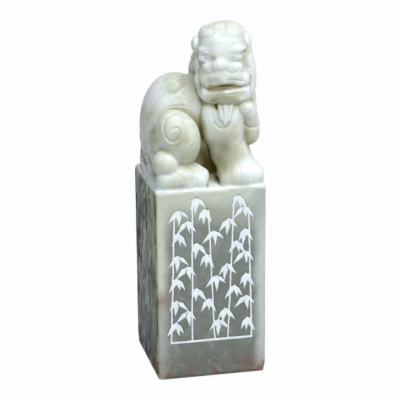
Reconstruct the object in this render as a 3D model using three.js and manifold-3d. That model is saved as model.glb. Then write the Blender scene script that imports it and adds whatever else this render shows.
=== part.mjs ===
// Seal stamp: a square column of soft stone whose top is carved as a seated guardian lion.
// Millimetres, +Z up. The origin is the middle of the printing face, the inscribed panel faces -Y,
// and the lion turns its head towards -Y. Each named portion of the carving is one solid.
import * as THREE from "three";
import { mergeVertices } from "three/addons/utils/BufferGeometryUtils.js";
import Module from "manifold-3d";

const wasm = await Module();
wasm.setup();

// The stone block
const COLUMN_WIDTH = 30;
const COLUMN_DEPTH = 30;
const COLUMN_HEIGHT = 53;
const LION_HEIGHT = 42.6;
const CORNER_RADIUS = 1.1;
const CARVING_GAP = 0.3;
const RIGHT = COLUMN_WIDTH / 2;
const LEFT = -RIGHT;
const REAR = COLUMN_DEPTH / 2;
const FRONT = -REAR;

// The printing face
const FACE_THICKNESS = 3;
const RELIEF_DEPTH = 0.8;
const BORDER_WIDTH = 1.5;
const BORDER_MARGIN = 0.4;
const FRET_LINE = 1.1;
const FRET_SPACE = 1.35;

// The engraved panel and its white filling, a stand of bamboo
const PANEL_SIDE_MARGIN = 1.8;
const PANEL_TOP_MARGIN = 3;
const PANEL_BOTTOM = 10.5;
const PANEL_WIDTH = COLUMN_WIDTH - 2 * PANEL_SIDE_MARGIN;
const PANEL_TOP = COLUMN_HEIGHT - PANEL_TOP_MARGIN;
const CUT_DEPTH = 0.5;
const CUT_CLEARANCE = 0.1;
const GROUND_STROKE = 0.7;
const STALK_COUNT = 5;
const STALK_WIDTH = 0.5;
const STALK_LEAN = 0.9;
const TWIG_LEVELS = 6;
const TWIG_REACH = 1.3;
const TWIG_RISE = 0.6;
const TWIG_WIDTH = 0.35;
const LEAF_LENGTH = 5;
const LEAF_WIDTH = 1.25;
const LEAF_WIDEST = 0.35;
const LEAF_ANGLES = [-125, -88, -52];
const LEAF_SWING = 10;

// The lion's head is turned from the front; sizes on it run across, forward and up from its middle
const HEAD_YAW = THREE.MathUtils.degToRad(-12);
const HEAD_PLACE = { x: RIGHT - 9, y: FRONT + 9.7, rise: 31.6 };
const CRANIUM = { forward: -0.5, up: 2.9, size: [7.2, 7.6, 6.6] };
const FACE = { forward: 2.2, up: -3, size: [6.9, 5.6, 6.8] };
const MOUTH = { forward: 7.3, up: -5.5, size: [4.4, 4.4, 1.6] };
const EYE = { across: 3.5, shift: -1.5, forward: 6, slant: 0.7, up: 2.1, size: [1.9, 1.5, 1.2] };
const BROW = { across: 3.3, shift: -1.2, forward: 5.8, slant: 0.4, up: 4.5, size: [3.2, 1.9, 1.2] };
const NOSE = { shift: -1.5, forward: 7.3, up: 0.4, size: [1.7, 1.6, 1.3] };
const BRIDGE = { shift: -1.5, forward: 6, up: 3.2, radius: 1.1 };
const CHEEK = { across: 3.1, shift: -1.1, forward: 5.6, up: -0.5, size: [2, 1.9, 1.6] };
const LIP = { shift: -0.3, forward: 5.9, up: -2.9, size: [3.4, 3.4, 1.3] };
const LIP_CORNER = { across: 3.7, shift: -0.2, forward: 4.8, up: -3.9, size: [2.5, 3.3, 1.8] };
const TONGUE = { forward: 4.8, up: -6.2, size: [3.1, 3.2, 0.8] };
const JAW = { forward: 3.6, up: -8.4, size: [6, 5.2, 1.9] };
const BEARD = { across: 0.2, forward: 6.6, up: -12.2, size: [1.8, 1.7, 3] };
const LEFT_CURL = { across: -3, forward: 0.2, up: 7.2, size: [3.8, 6, 2.5] };
const RIGHT_CURL = { across: 1.9, forward: 0, up: 7.9, size: [3.8, 6, 2.7] };
const EAR = { across: 6.5, shift: -1.1, forward: 1, up: 4.9, size: [1.4, 2, 2.5] };
const CHEEK_MANE = { across: 6.5, shift: -0.2, forward: 1.5, up: -4.1, size: [1.7, 3.5, 6.4] };

// The lion's body: what lies against a side is placed from that side, and rises are taken from the
// top of the column
const RUMP = { x: LEFT + 9.6, y: REAR - 9.8, rise: 10.4, size: [9.6, 9.2, 12.5] };
const BACK = { x: LEFT + 9.2, y: REAR - 11.8, rise: 17.2, size: [8.2, 8.8, 10.2] };
const SHOULDERS = { x: RIGHT - 11.6, y: FRONT + 15.6, rise: 14, size: [8.2, 7.2, 10] };
const NAPE = { x: RIGHT - 9.6, y: FRONT + 17.5, rise: 27.5, size: [7.4, 7, 9] };
const NECK_TOP = { x: RIGHT - 10.5, y: FRONT + 13.5, rise: 25, radius: 6.2 };
const NECK_FOOT = { x: RIGHT - 11.6, y: FRONT + 15, rise: 17, radius: 6.6 };
const FORE_SHOULDER = { x: RIGHT - 10, y: FRONT + 7, rise: 17.2, size: [5.6, 5.4, 6.8] };
const FORELEG_TOP = { x: RIGHT - 10, y: FRONT + 7, rise: 13, radius: 4.8 };
const FORELEG_ANKLE = { x: RIGHT - 8.1, y: FRONT + 6.6, rise: 4, radius: 3.9 };
const FOREPAW = { x: RIGHT - 5.6, y: FRONT + 5.3, rise: 2.3, size: [5.9, 5.3, 3.5] };
const LEFT_TOE = { x: RIGHT - 9.6, y: FRONT + 2.4, rise: 1.6, radius: 2 };
const RIGHT_TOE = { x: RIGHT - 1.8, y: FRONT + 3, rise: 1.6, radius: 2 };
const RAISED_SHOULDER = { x: RIGHT - 3, y: FRONT + 10.5, rise: 20.6, radius: 2.8 };
const RAISED_ARM_END = { x: RIGHT - 3.1, y: FRONT + 8.4, rise: 14.6, radius: 2.8 };
const RAISED_ELBOW = { x: RIGHT - 3.1, y: FRONT + 7.4, rise: 12.8, radius: 3.1 };
const RAISED_WRIST = { x: RIGHT - 4, y: FRONT + 5, rise: 18.2, radius: 2.8 };
const RAISED_PAW = { x: RIGHT - 4.8, y: FRONT + 4.2, rise: 20, size: [2.3, 2.2, 1.8] };
const HIND_HEEL = { x: LEFT + 3.6, y: FRONT + 3.2, rise: 2.4, radius: 2.9 };
const HIND_SOLE = { x: LEFT + 11.6, y: FRONT + 3.2, rise: 2.6, radius: 3.1 };
const HIND_TOES = { x: LEFT + 11.6, y: FRONT + 3.2, rise: 2.6, size: [3.7, 3.6, 3.4] };
const HOCK = { x: LEFT + 3.7, y: FRONT + 4.4, rise: 6, size: [3.6, 3.8, 3.9] };
const THIGH = { x: LEFT + 8.2, y: FRONT + 5.8, rise: 12.2, size: [5.4, 5.2, 7.6] };
const HIP = { x: LEFT + 5.8, y: FRONT + 5.6, rise: 15.6, size: [4.2, 4.2, 4.2] };
const FAR_HEEL = { x: RIGHT - 3.1, y: REAR - 4.2, rise: 2.2, radius: 3 };
const FAR_TOES = { x: RIGHT - 2.8, y: REAR - 13.8, rise: 2.4, radius: 2.8 };
const FAR_THIGH = { x: RIGHT - 8.4, y: REAR - 7.6, rise: 9, size: [8, 7.2, 9.2] };
const TAIL_ROOT = { x: LEFT + 4.1, y: REAR - 3.4, rise: 2.6, radius: 2.9 };
const TAIL_BEND = { x: LEFT + 3.8, y: REAR - 3.6, rise: 9, radius: 2.5 };
const TAIL_TIP = { x: LEFT + 4.8, y: REAR - 3, rise: 13.6, radius: 1.6 };

// How far forms flow into one another, and how finely their skins are found
const RAY_STEP = 0.25;
const SHARP_FILLET = 1.2;
const LIMB_FILLET = 2;
const BODY_FILLET = 3;

const UP = new THREE.Vector3(0, 0, 1);
const headTurn = new THREE.Quaternion().setFromAxisAngle(UP, HEAD_YAW);
const point = (x, y, z) => new THREE.Vector3(x, y, z);
const seated = (x, y, rise) => point(x, y, COLUMN_HEIGHT + rise);

const stone = new THREE.MeshStandardMaterial({ color: 0xc9cdbb, roughness: 0.35, metalness: 0 });
const greyStone = new THREE.MeshStandardMaterial({ color: 0x8b9080, roughness: 0.4, metalness: 0 });
const amberStone = new THREE.MeshStandardMaterial({ color: 0x8a7440, roughness: 0.35, metalness: 0 });
const whiteFill = new THREE.MeshStandardMaterial({ color: 0xe9ecf4, roughness: 0.85, metalness: 0 });
const seal = new THREE.Group();

// A closed geometry as a solid that can be joined and cut
function solidOf(geometry) {
  const bare = geometry.index ? geometry.toNonIndexed() : geometry.clone();
  bare.deleteAttribute("normal");
  bare.deleteAttribute("uv");
  const merged = mergeVertices(bare, 1e-4);
  return new wasm.Manifold(
    new wasm.Mesh({
      numProp: 3,
      vertProperties: merged.attributes.position.array,
      triVerts: new Uint32Array(merged.index.array),
    }),
  );
}

// A solid as a named mesh of the seal
function addMesh(name, solid, material) {
  const mesh = solid.getMesh();
  const geometry = new THREE.BufferGeometry();
  geometry.setAttribute("position", new THREE.BufferAttribute(mesh.vertProperties, 3));
  geometry.setIndex(new THREE.BufferAttribute(mesh.triVerts, 1));
  geometry.computeVertexNormals();
  const made = new THREE.Mesh(geometry, material);
  made.name = name;
  seal.add(made);
}

// A box given by its middle and its full sizes
function box(middle, size) {
  return solidOf(new THREE.BoxGeometry(size.x, size.y, size.z).translate(middle.x, middle.y, middle.z));
}

// The block's square outline with rounded corners
function blockOutline() {
  const outline = new THREE.Shape();
  const inX = RIGHT - CORNER_RADIUS;
  const inY = REAR - CORNER_RADIUS;
  outline.absarc(inX, inY, CORNER_RADIUS, 0, Math.PI / 2);
  outline.absarc(-inX, inY, CORNER_RADIUS, Math.PI / 2, Math.PI);
  outline.absarc(-inX, -inY, CORNER_RADIUS, Math.PI, 1.5 * Math.PI);
  outline.absarc(inX, -inY, CORNER_RADIUS, 1.5 * Math.PI, 2 * Math.PI);
  return outline;
}

// The block between two heights, with straight ends
function blockSlab(bottom, top) {
  const options = { depth: top - bottom, bevelEnabled: false, curveSegments: 3 };
  return solidOf(new THREE.ExtrudeGeometry(blockOutline(), options).translate(0, 0, bottom));
}

// Forms of the carving are distance functions: below zero inside, above zero outside
function ellipsoid(at, halves, turn = new THREE.Quaternion()) {
  const back = turn.clone().invert();
  const local = new THREE.Vector3();
  const scaled = new THREE.Vector3();
  return (p) => {
    local.subVectors(p, at).applyQuaternion(back).divide(halves);
    const reach = local.length();
    const slope = scaled.copy(local).divide(halves).length();
    return slope < 1e-9 ? -Math.min(halves.x, halves.y, halves.z) : (reach * (reach - 1)) / slope;
  };
}

// A limb that tapers from one radius to another
function limb(from, to, radiusFrom, radiusTo) {
  const axis = new THREE.Line3(from, to);
  const near = new THREE.Vector3();
  return (p) => {
    const share = axis.closestPointToPointParameter(p, true);
    return p.distanceTo(axis.at(share, near)) - THREE.MathUtils.lerp(radiusFrom, radiusTo, share);
  };
}

// Forms that flow into each other over a fillet of the given width
function flow(width, ...forms) {
  return (p) =>
    forms.map((form) => form(p)).reduce((a, b) => {
      const share = Math.max(width - Math.abs(a - b), 0) / width;
      return Math.min(a, b) - (share * share * width) / 4;
    });
}

// A closed skin: rays leave a spine and end where the form ends, grown outwards if wanted. Each ray
// steps out past the surface, then halves its last step until it lies on it
function skin(form, spine, around, along, grow = 0) {
  const ball = new THREE.SphereGeometry(1, around, along);
  ball.deleteAttribute("normal");
  ball.deleteAttribute("uv");
  const geometry = mergeVertices(ball, 1e-4);
  const spots = geometry.attributes.position;
  const pole = point(0, 1, 0);
  const outward = new THREE.Vector3();
  const start = new THREE.Vector3();
  const spot = new THREE.Vector3();
  const turn = new THREE.Quaternion();
  const depthAt = (reach) => form(spot.copy(start).addScaledVector(outward, reach)) - grow;
  for (let i = 0; i < spots.count; i++) {
    outward.fromBufferAttribute(spots, i);
    const share = (1 - outward.y) / 2;
    spine.getPoint(share, start);
    outward.applyQuaternion(turn.setFromUnitVectors(pole, spine.getTangent(share).negate()));
    let inside = 0;
    let outside = RAY_STEP;
    while (depthAt(outside) < 0) {
      inside = outside;
      outside += RAY_STEP;
    }
    while (outside - inside > RAY_STEP / 1e4) {
      const middle = (inside + outside) / 2;
      if (depthAt(middle) < 0) {
        inside = middle;
      } else {
        outside = middle;
      }
    }
    spots.setXYZ(i, ...spot.copy(start).addScaledVector(outward, inside).toArray());
  }
  return solidOf(geometry);
}

// A rounded lump, its skin grown from a spine along its longest half size
function lump(at, halves, around, along, turn = new THREE.Quaternion()) {
  const longest = halves.indexOf(Math.max(...halves));
  const reach = point(0, 0, 0).setComponent(longest, 0.5 * halves[longest]).applyQuaternion(turn);
  const spine = new THREE.LineCurve3(at.clone().sub(reach), at.clone().add(reach));
  return (grow) => skin(ellipsoid(at, point(...halves), turn), spine, around, along, grow);
}

// Forms flowing into one another, their skin grown from a spine between two places
const blended = (fillet, from, to, around, along, ...forms) => (grow) =>
  skin(flow(fillet, ...forms), new THREE.LineCurve3(from, to), around, along, grow);

// The body's places and forms, from its named parts
const spot = (part) => seated(part.x, part.y, part.rise);
const roundForm = (part) => ellipsoid(spot(part), point(...part.size));
const limbForm = (from, to) => limb(spot(from), spot(to), from.radius, to.radius);
const bodyLump = (part, around, along) => lump(spot(part), part.size, around, along);
const rod = (from, to, around, along) =>
  blended(LIMB_FILLET, spot(from), spot(to), around, along, limbForm(from, to));

// Each portion of the lion is kept inside the block's outline above the column's top, and is cut
// clear of the portions carved before it
const lionBlock = blockSlab(COLUMN_HEIGHT, COLUMN_HEIGHT + LION_HEIGHT);
const carved = [];
function carve(name, shapes, material = stone) {
  const grown = (grow) => wasm.Manifold.union(shapes.map((shape) => shape(grow)));
  const own = carved.reduce((left, other) => left.subtract(other), grown(0).intersect(lionBlock));
  carved.push(grown(CARVING_GAP));
  addMesh(name, own, material);
}

// A block of the given width and depth round the upright axis, tall enough to cut the relief
function reliefBox(width, depth) {
  return box(point(0, 0, 0), point(width, depth, 2 * RELIEF_DEPTH));
}

// The printing face: a raised border round four square spirals, left standing above a sunk ground
function printingFace() {
  const borderWidth = COLUMN_WIDTH - 2 * BORDER_MARGIN;
  const borderDepth = COLUMN_DEPTH - 2 * BORDER_MARGIN;
  const fieldWidth = borderWidth - 2 * BORDER_WIDTH;
  const fieldDepth = borderDepth - 2 * BORDER_WIDTH;
  const lines = [-1, 1].flatMap((sideX) =>
    [-1, 1].flatMap((sideY) => squareSpiral(sideX, sideY, fieldWidth / 2, fieldDepth / 2)),
  );
  const ground = reliefBox(fieldWidth, fieldDepth).subtract(wasm.Manifold.union(lines));
  const margin = blockSlab(-RELIEF_DEPTH, RELIEF_DEPTH).subtract(reliefBox(borderWidth, borderDepth));
  return blockSlab(0, FACE_THICKNESS).subtract(ground.add(margin));
}

// One quarter's spiral starts at the border and winds inwards
function squareSpiral(sideX, sideY, reachX, reachY) {
  const pitch = FRET_LINE + FRET_SPACE;
  const low = FRET_SPACE / 2 + FRET_LINE / 2;
  let [x0, y0] = [low, low];
  let [x1, y1] = [reachX - FRET_SPACE - FRET_LINE / 2, reachY - FRET_SPACE - FRET_LINE / 2];
  const corners = [[low, reachY], [x0, y0], [x1, y0], [x1, y1]];
  while (x1 - x0 > pitch && y1 - y0 > pitch) {
    x0 += pitch;
    y0 += pitch;
    corners.push([x0, y1]);
    x1 -= pitch;
    corners.push([x0, y0], [x1, y0]);
    y1 -= pitch;
    corners.push([x1, y1]);
  }
  return corners.slice(1).map(([x, y], i) => {
    const [px, py] = corners[i];
    const middle = point((sideX * (x + px)) / 2, (sideY * (y + py)) / 2, 0);
    const size = point(Math.abs(x - px) + FRET_LINE, Math.abs(y - py) + FRET_LINE, 2 * RELIEF_DEPTH);
    return box(middle, size);
  });
}

// An outline drawn on the front in x and z, cut straight in to the depth of the engraving
function engraved(outline) {
  const cut = new THREE.ExtrudeGeometry(outline, { depth: CUT_DEPTH, bevelEnabled: false });
  return solidOf(cut.rotateX(Math.PI / 2).translate(0, CUT_DEPTH + FRONT, 0));
}

// One leaf, a flat kite from its root to its tip, grown all round by the margin
function stroke(root, angle, length, width, margin) {
  const along = new THREE.Vector2(Math.cos(angle), Math.sin(angle));
  const aside = new THREE.Vector2(-along.y, along.x);
  const at = (share, side) =>
    root
      .clone()
      .addScaledVector(along, share * length)
      .addScaledVector(aside, side * (width / 2 + margin));
  const kite = new THREE.Shape([
    root.clone().addScaledVector(along, -2 * margin),
    at(LEAF_WIDEST, -1),
    root.clone().addScaledVector(along, length + 2 * margin),
    at(LEAF_WIDEST, 1),
  ]);
  return engraved(kite);
}

// A straight bar on the front, reaching half its width past the two points it joins
function bar(from, to, width, margin) {
  const along = to.clone().sub(from).normalize();
  const reach = width / 2 + margin;
  const aside = new THREE.Vector2(-along.y, along.x).multiplyScalar(reach);
  const a = from.clone().addScaledVector(along, -reach);
  const b = to.clone().addScaledVector(along, reach);
  const outline = new THREE.Shape([
    a.clone().sub(aside),
    b.clone().sub(aside),
    b.clone().add(aside),
    a.clone().add(aside),
  ]);
  return engraved(outline);
}

// Bamboo stalks whose twigs each hold three leaves, all rising from one ground stroke
function bamboo(margin) {
  const strokes = [];
  const stalkGap = PANEL_WIDTH / STALK_COUNT;
  const levelGap = (PANEL_TOP - PANEL_BOTTOM - LEAF_LENGTH) / (TWIG_LEVELS - 0.5);
  let lastFoot = null;
  for (let s = 0; s < STALK_COUNT; s++) {
    const x = (s + 0.5) * stalkGap - PANEL_WIDTH / 2;
    const lean = STALK_LEAN * Math.sin(2.3 * s + 0.7);
    const offset = (levelGap * (s % 2)) / 2;
    const foot = new THREE.Vector2(x - lean, PANEL_BOTTOM);
    const tip = new THREE.Vector2(x + lean, PANEL_TOP - levelGap / 2 + offset);
    strokes.push(bar(foot, tip, STALK_WIDTH, margin));
    if (lastFoot) {
      strokes.push(bar(lastFoot, foot, GROUND_STROKE, margin));
    }
    lastFoot = foot;
    for (let k = 0; k < TWIG_LEVELS; k++) {
      const knot = foot.clone().lerp(tip, (LEAF_LENGTH + k * levelGap + offset) / (tip.y - foot.y));
      const outermost = s === 0 || s === STALK_COUNT - 1;
      const side = outermost ? -Math.sign(x) : (-1) ** (k + s);
      const end = knot.clone().add(new THREE.Vector2(side * TWIG_REACH, TWIG_RISE));
      strokes.push(bar(knot, end, TWIG_WIDTH, margin));
      LEAF_ANGLES.forEach((angle, leaf) => {
        const swing = LEAF_SWING * Math.sin(5.1 * s + 3.3 * k + 1.9 * leaf);
        const share = 0.88 + 0.12 * Math.cos(2.7 * k + 4.4 * leaf + s);
        const heading = THREE.MathUtils.degToRad(angle + swing);
        strokes.push(stroke(end, heading, share * LEAF_LENGTH, share * LEAF_WIDTH, margin));
      });
    }
  }
  return wasm.Manifold.union(strokes);
}

// The column carries the engraved panel on its front
function column() {
  return blockSlab(FACE_THICKNESS, COLUMN_HEIGHT).subtract(bamboo(CUT_CLEARANCE));
}

addMesh("printing_face", printingFace(), greyStone);
addMesh("column", column(), greyStone);
addMesh("white_filling", bamboo(0), whiteFill);

// The head's places and forms, which lie along its own directions
const headMiddle = spot(HEAD_PLACE);
const onHead = (across, forward, up) =>
  point(across, -forward, up).applyQuaternion(headTurn).add(headMiddle);
const placeOf = (part, side = 1) =>
  onHead(
    side * (part.across ?? 0) + (part.shift ?? 0),
    part.forward + side * (part.slant ?? 0),
    part.up,
  );
const headForm = (part, side) => ellipsoid(placeOf(part, side), point(...part.size), headTurn);
const headLump = (part, around, along, side) =>
  lump(placeOf(part, side), part.size, around, along, headTurn);
const hands = [
  ["left", -1],
  ["right", 1],
];

// Eyes, brows and nose stand out of the face
for (const [hand, side] of hands) {
  carve(`${hand}_eye`, [headLump(EYE, 10, 6, side)]);
}
const brows = [headForm(BROW, -1), headForm(BROW, 1)];
carve("brow", [blended(SHARP_FILLET, placeOf(BROW, -1.3), placeOf(BROW, 1.3), 9, 10, ...brows)]);
const bridge = limb(placeOf(BRIDGE), placeOf(NOSE), BRIDGE.radius, BRIDGE.radius);
const noseSpine = [placeOf(BRIDGE).lerp(placeOf(NOSE), 0.5), placeOf(NOSE)];
carve("nose", [blended(SHARP_FILLET, ...noseSpine, 12, 8, bridge, headForm(NOSE))]);

// Mouth: the arched upper lip, the tongue and the lower jaw, with the beard below
const lips = [headForm(LIP), headForm(LIP_CORNER, -1), headForm(LIP_CORNER, 1)];
const lipEnds = [placeOf(LIP_CORNER, -0.8), placeOf(LIP_CORNER, 0.8)];
carve("upper_lip", [blended(SHARP_FILLET, ...lipEnds, 12, 10, ...lips)]);
carve("tongue", [headLump(TONGUE, 10, 6)], amberStone);
carve("lower_jaw", [headLump(JAW, 12, 9)]);
carve("beard", [headLump(BEARD, 12, 8)]);

// Hair: two curls on the crown, the ears, and the mane beside the cheeks
carve("left_crown_curl", [headLump(LEFT_CURL, 14, 8)]);
carve("right_crown_curl", [headLump(RIGHT_CURL, 14, 8)]);
for (const [hand, side] of hands) {
  carve(`${hand}_ear`, [headLump(EAR, 10, 7, side)]);
  carve(`${hand}_cheek_mane`, [headLump(CHEEK_MANE, 12, 9, side)]);
}

// Head, hollowed for the open mouth
carved.push(headLump(MOUTH, 12, 8)(0));
const skull = flow(BODY_FILLET, headForm(CRANIUM), headForm(FACE));
const headForms = [skull, headForm(CHEEK, -1), headForm(CHEEK, 1)];
const headSpine = [placeOf(CRANIUM), placeOf(FACE)].map((end) => end.lerp(headMiddle, 0.2));
carve("head", [blended(SHARP_FILLET, ...headSpine, 20, 14, ...headForms)]);

// Left foreleg, standing at the front edge
const pawForms = [roundForm(FOREPAW), limbForm(LEFT_TOE, RIGHT_TOE)];
const pawSpine = [spot(FOREPAW).lerp(spot(LEFT_TOE), 0.5), spot(FOREPAW).lerp(spot(RIGHT_TOE), 0.5)];
carve("standing_forepaw", [blended(SHARP_FILLET, ...pawSpine, 16, 10, ...pawForms)]);
const forelegForms = [roundForm(FORE_SHOULDER), limbForm(FORELEG_TOP, FORELEG_ANKLE)];
carve("standing_foreleg", [
  blended(LIMB_FILLET, spot(FORE_SHOULDER), spot(FORELEG_ANKLE), 14, 12, ...forelegForms),
]);

// Right foreleg, raised so that its paw is under the chin
carve("raised_forepaw", [bodyLump(RAISED_PAW, 10, 6)]);
carve("raised_forearm", [rod(RAISED_ELBOW, RAISED_WRIST, 12, 7)]);
carve("raised_upper_arm", [rod(RAISED_SHOULDER, RAISED_ARM_END, 12, 7)]);

// Near hind leg: foot along the front edge, round hock, and the thigh with its hip swell
const footForms = [limbForm(HIND_HEEL, HIND_SOLE), roundForm(HIND_TOES)];
carve("near_hind_foot", [blended(LIMB_FILLET, spot(HIND_HEEL), spot(HIND_TOES), 14, 11, ...footForms)]);
carve("near_hock", [bodyLump(HOCK, 12, 9)]);
const thighForms = [roundForm(THIGH), roundForm(HIP)];
const thighFoot = spot(THIGH).add(point(0, 0, -THIGH.size[2] / 3));
carve("near_thigh", [blended(LIMB_FILLET, spot(HIP), thighFoot, 16, 12, ...thighForms)]);

// Far hind leg, and the tail curled up against the rump
carve("far_hind_foot", [rod(FAR_HEEL, FAR_TOES, 12, 9)]);
carve("far_thigh", [bodyLump(FAR_THIGH, 16, 11)]);
carve("tail", [rod(TAIL_ROOT, TAIL_BEND, 12, 8), rod(TAIL_BEND, TAIL_TIP, 12, 6)]);

// Neck with the mane down its nape, and the trunk
carve("nape_mane", [bodyLump(NAPE, 16, 11)]);
carve("neck", [rod(NECK_TOP, NECK_FOOT, 14, 8)]);
const trunkForms = [roundForm(RUMP), roundForm(BACK), roundForm(SHOULDERS)];
const trunkEnd = spot(RUMP).lerp(spot(BACK), 0.4);
carve("trunk", [blended(BODY_FILLET, spot(SHOULDERS), trunkEnd, 22, 15, ...trunkForms)]);

export default seal;
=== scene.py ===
import math

import bpy
import numpy as np
from mathutils import Matrix, Vector


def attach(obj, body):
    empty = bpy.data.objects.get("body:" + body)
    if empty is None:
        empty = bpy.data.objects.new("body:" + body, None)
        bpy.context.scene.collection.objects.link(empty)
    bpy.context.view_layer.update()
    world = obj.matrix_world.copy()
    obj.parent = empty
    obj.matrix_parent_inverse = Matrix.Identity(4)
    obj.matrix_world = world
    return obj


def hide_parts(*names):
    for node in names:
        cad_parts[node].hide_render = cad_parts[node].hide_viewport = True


# Seal stamp. A square column of pale green soft stone whose top is carved as a seated guardian lion,
# with bamboo cut into the front of the column and rubbed with white. Shapes are worked out in
# millimetres in the frame of the CAD part, and become metres when a piece is made.
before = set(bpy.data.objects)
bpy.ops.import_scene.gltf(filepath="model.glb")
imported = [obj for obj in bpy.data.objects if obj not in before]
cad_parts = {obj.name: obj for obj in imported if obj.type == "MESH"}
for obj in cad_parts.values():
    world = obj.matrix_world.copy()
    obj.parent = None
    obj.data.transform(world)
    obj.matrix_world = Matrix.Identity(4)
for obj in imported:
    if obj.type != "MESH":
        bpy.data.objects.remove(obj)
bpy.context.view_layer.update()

# The viewer's place
# Knife lines on the front of the lion are laid out on the front view, so the camera comes first.
# It stands a little to the left of the front and looks slightly down.
VIEW_TURN = math.radians(-12.617)
VIEW_RISE = math.radians(16.6)
VIEW_ROLL = math.radians(-0.404)
VIEW_TARGET = np.array([0.27, 0.0, 45.45])
VIEW_DISTANCE = 441.3
VIEW_ACROSS = 400
LENS = 146.05
SENSOR = 36.0
view_back = np.array(
    [
        math.sin(VIEW_TURN) * math.cos(VIEW_RISE),
        -math.cos(VIEW_TURN) * math.cos(VIEW_RISE),
        math.sin(VIEW_RISE),
    ]
)
view_place = VIEW_TARGET + VIEW_DISTANCE * view_back
view_axes = Vector(view_back).to_track_quat("Z", "Y").to_matrix() @ Matrix.Rotation(VIEW_ROLL, 3, "Z")
view_right = np.array(view_axes.col[0])
view_up = np.array(view_axes.col[1])


def placed(name, data):
    """An object of the scene, made of its mesh, lamp or camera data"""
    made = bpy.data.objects.new(name, data)
    bpy.context.scene.collection.objects.link(made)
    return made


camera = placed("camera", bpy.data.cameras.new("camera"))
camera.matrix_world = Matrix.Translation(Vector(view_place * 0.001)) @ view_axes.to_4x4()
camera.data.lens = LENS
camera.data.sensor_width = SENSOR
camera.data.clip_start = 0.01
camera.data.clip_end = 50
bpy.context.scene.camera = camera


def front_view(spots):
    """Where spots stand in the front view, across and down, and how squarely a direction faces it"""
    away = spots - view_place
    depth = -(away @ view_back)
    scale = VIEW_ACROSS * LENS / SENSOR / depth
    places = np.stack(
        [VIEW_ACROSS / 2 + scale * (away @ view_right), VIEW_ACROSS / 2 - scale * (away @ view_up)], 1
    )
    return places, scale, -away / np.linalg.norm(away, axis=1)[:, None]


# The trunk
# The lion is carved on the same block as the column. Its rump, back, shoulders and neck are the
# large masses a carver brings out first; the other portions below are worked on top of them and
# flow into them, so every skin is cut in one go once all of them stand, under Polishing.
HALF_WIDTH = 15.0
COLUMN_TOP = 53.0
CELL = 0.19
FAR = 4.5
BELOW_LEDGE = 1.2
LION_ROOM = 43.4
SIDE_ROOM = 0.7
lattice = [
    np.arange(-HALF_WIDTH - SIDE_ROOM, HALF_WIDTH + SIDE_ROOM + CELL, CELL),
    np.arange(-HALF_WIDTH - SIDE_ROOM, HALF_WIDTH + SIDE_ROOM + CELL, CELL),
    np.arange(COLUMN_TOP - BELOW_LEDGE, COLUMN_TOP + LION_ROOM, CELL),
]
lattice_corner = np.array([line[0] for line in lattice])
lattice_shape = tuple(len(line) for line in lattice)
figure = np.full(lattice_shape, FAR, np.float32)
portions = {}


def flowing(a, b, width):
    """Two forms as one, with a fillet of this width where they meet"""
    share = np.maximum(width - np.abs(a - b), 0) / width
    return np.minimum(a, b) - share * share * width / 4


def swell(place, halves, turn=0.0, lean=0.0):
    """A rounded mass of these half sizes, turned about the upright and leaning over to its right"""
    upright = np.array(
        [[math.cos(turn), -math.sin(turn), 0], [math.sin(turn), math.cos(turn), 0], [0, 0, 1]]
    )
    tipped = np.array(
        [[math.cos(lean), 0, math.sin(lean)], [0, 1, 0], [-math.sin(lean), 0, math.cos(lean)]]
    )
    axes = upright @ tipped
    place = np.array(place, float)
    reach = max(halves) + FAR

    def depth(x, y, z):
        local = [
            ((x - place[0]) * axis[0] + (y - place[1]) * axis[1] + (z - place[2]) * axis[2]) / half
            for axis, half in zip(axes.T, halves)
        ]
        near = np.sqrt(sum(c * c for c in local))
        slope = np.sqrt(sum((c / half) ** 2 for c, half in zip(local, halves)))
        return near * (near - 1) / np.maximum(slope, 1e-6)

    return place - reach, place + reach, depth


def limb(start, end, start_radius, end_radius):
    """A limb that tapers from one radius to another"""
    start, end = np.array(start, float), np.array(end, float)
    axis = end - start
    length = axis @ axis
    reach = max(start_radius, end_radius) + FAR

    def depth(x, y, z):
        off = [x - start[0], y - start[1], z - start[2]]
        share = np.clip(sum(o * a for o, a in zip(off, axis)) / length, 0, 1)
        gap = np.sqrt(sum((o - share * a) ** 2 for o, a in zip(off, axis)))
        return gap - (start_radius + share * (end_radius - start_radius))

    return np.minimum(start, end) - reach, np.maximum(start, end) + reach, depth


def measured(mass):
    """A mass measured on its own part of the lattice, below zero inside the stone"""
    low, high, depth = mass
    part = tuple(
        slice(max(0, int((a - line[0]) / CELL)), max(1, min(len(line), int((b - line[0]) / CELL) + 2)))
        for a, b, line in zip(low, high, lattice)
    )
    x, y, z = (line[piece].astype(np.float32) for line, piece in zip(lattice, part))
    found = depth(x[:, None, None], y[None, :, None], z[None, None, :])
    return part, np.minimum(found, FAR).astype(np.float32)


def carve(name, finish, masses, fillet, seat, hollows=(), hollow_edge=0.5, lines=(), stains_shades_and_lights=()):
    """One portion: its masses flow together over a fillet, hollows are taken out of them, and the
    portion flows into the rest of the lion over the fillet of its seat. The knife's lines, and the
    stains and painted shade as a place, a radius and a strength, below zero for a patch of painted light,
    are kept for the polishing, which fills in the mesh"""
    own = np.full(lattice_shape, FAR, np.float32)
    for mass in masses:
        part, found = measured(mass)
        own[part] = flowing(own[part], found, fillet)
    for mass in hollows:
        part, found = measured(mass)
        own[part] = -flowing(-own[part], found, hollow_edge)
    figure[:] = flowing(figure, own, seat)
    piece = placed(name, bpy.data.meshes.new(name))
    piece.data.materials.append(finish)
    portions[name] = (piece, own.astype(np.float16), lines, stains_shades_and_lights)
    return piece


def seated(x, y, rise):
    """A place on the block, its height taken from the top of the column"""
    return np.array([x, y, COLUMN_TOP + rise])


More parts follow.
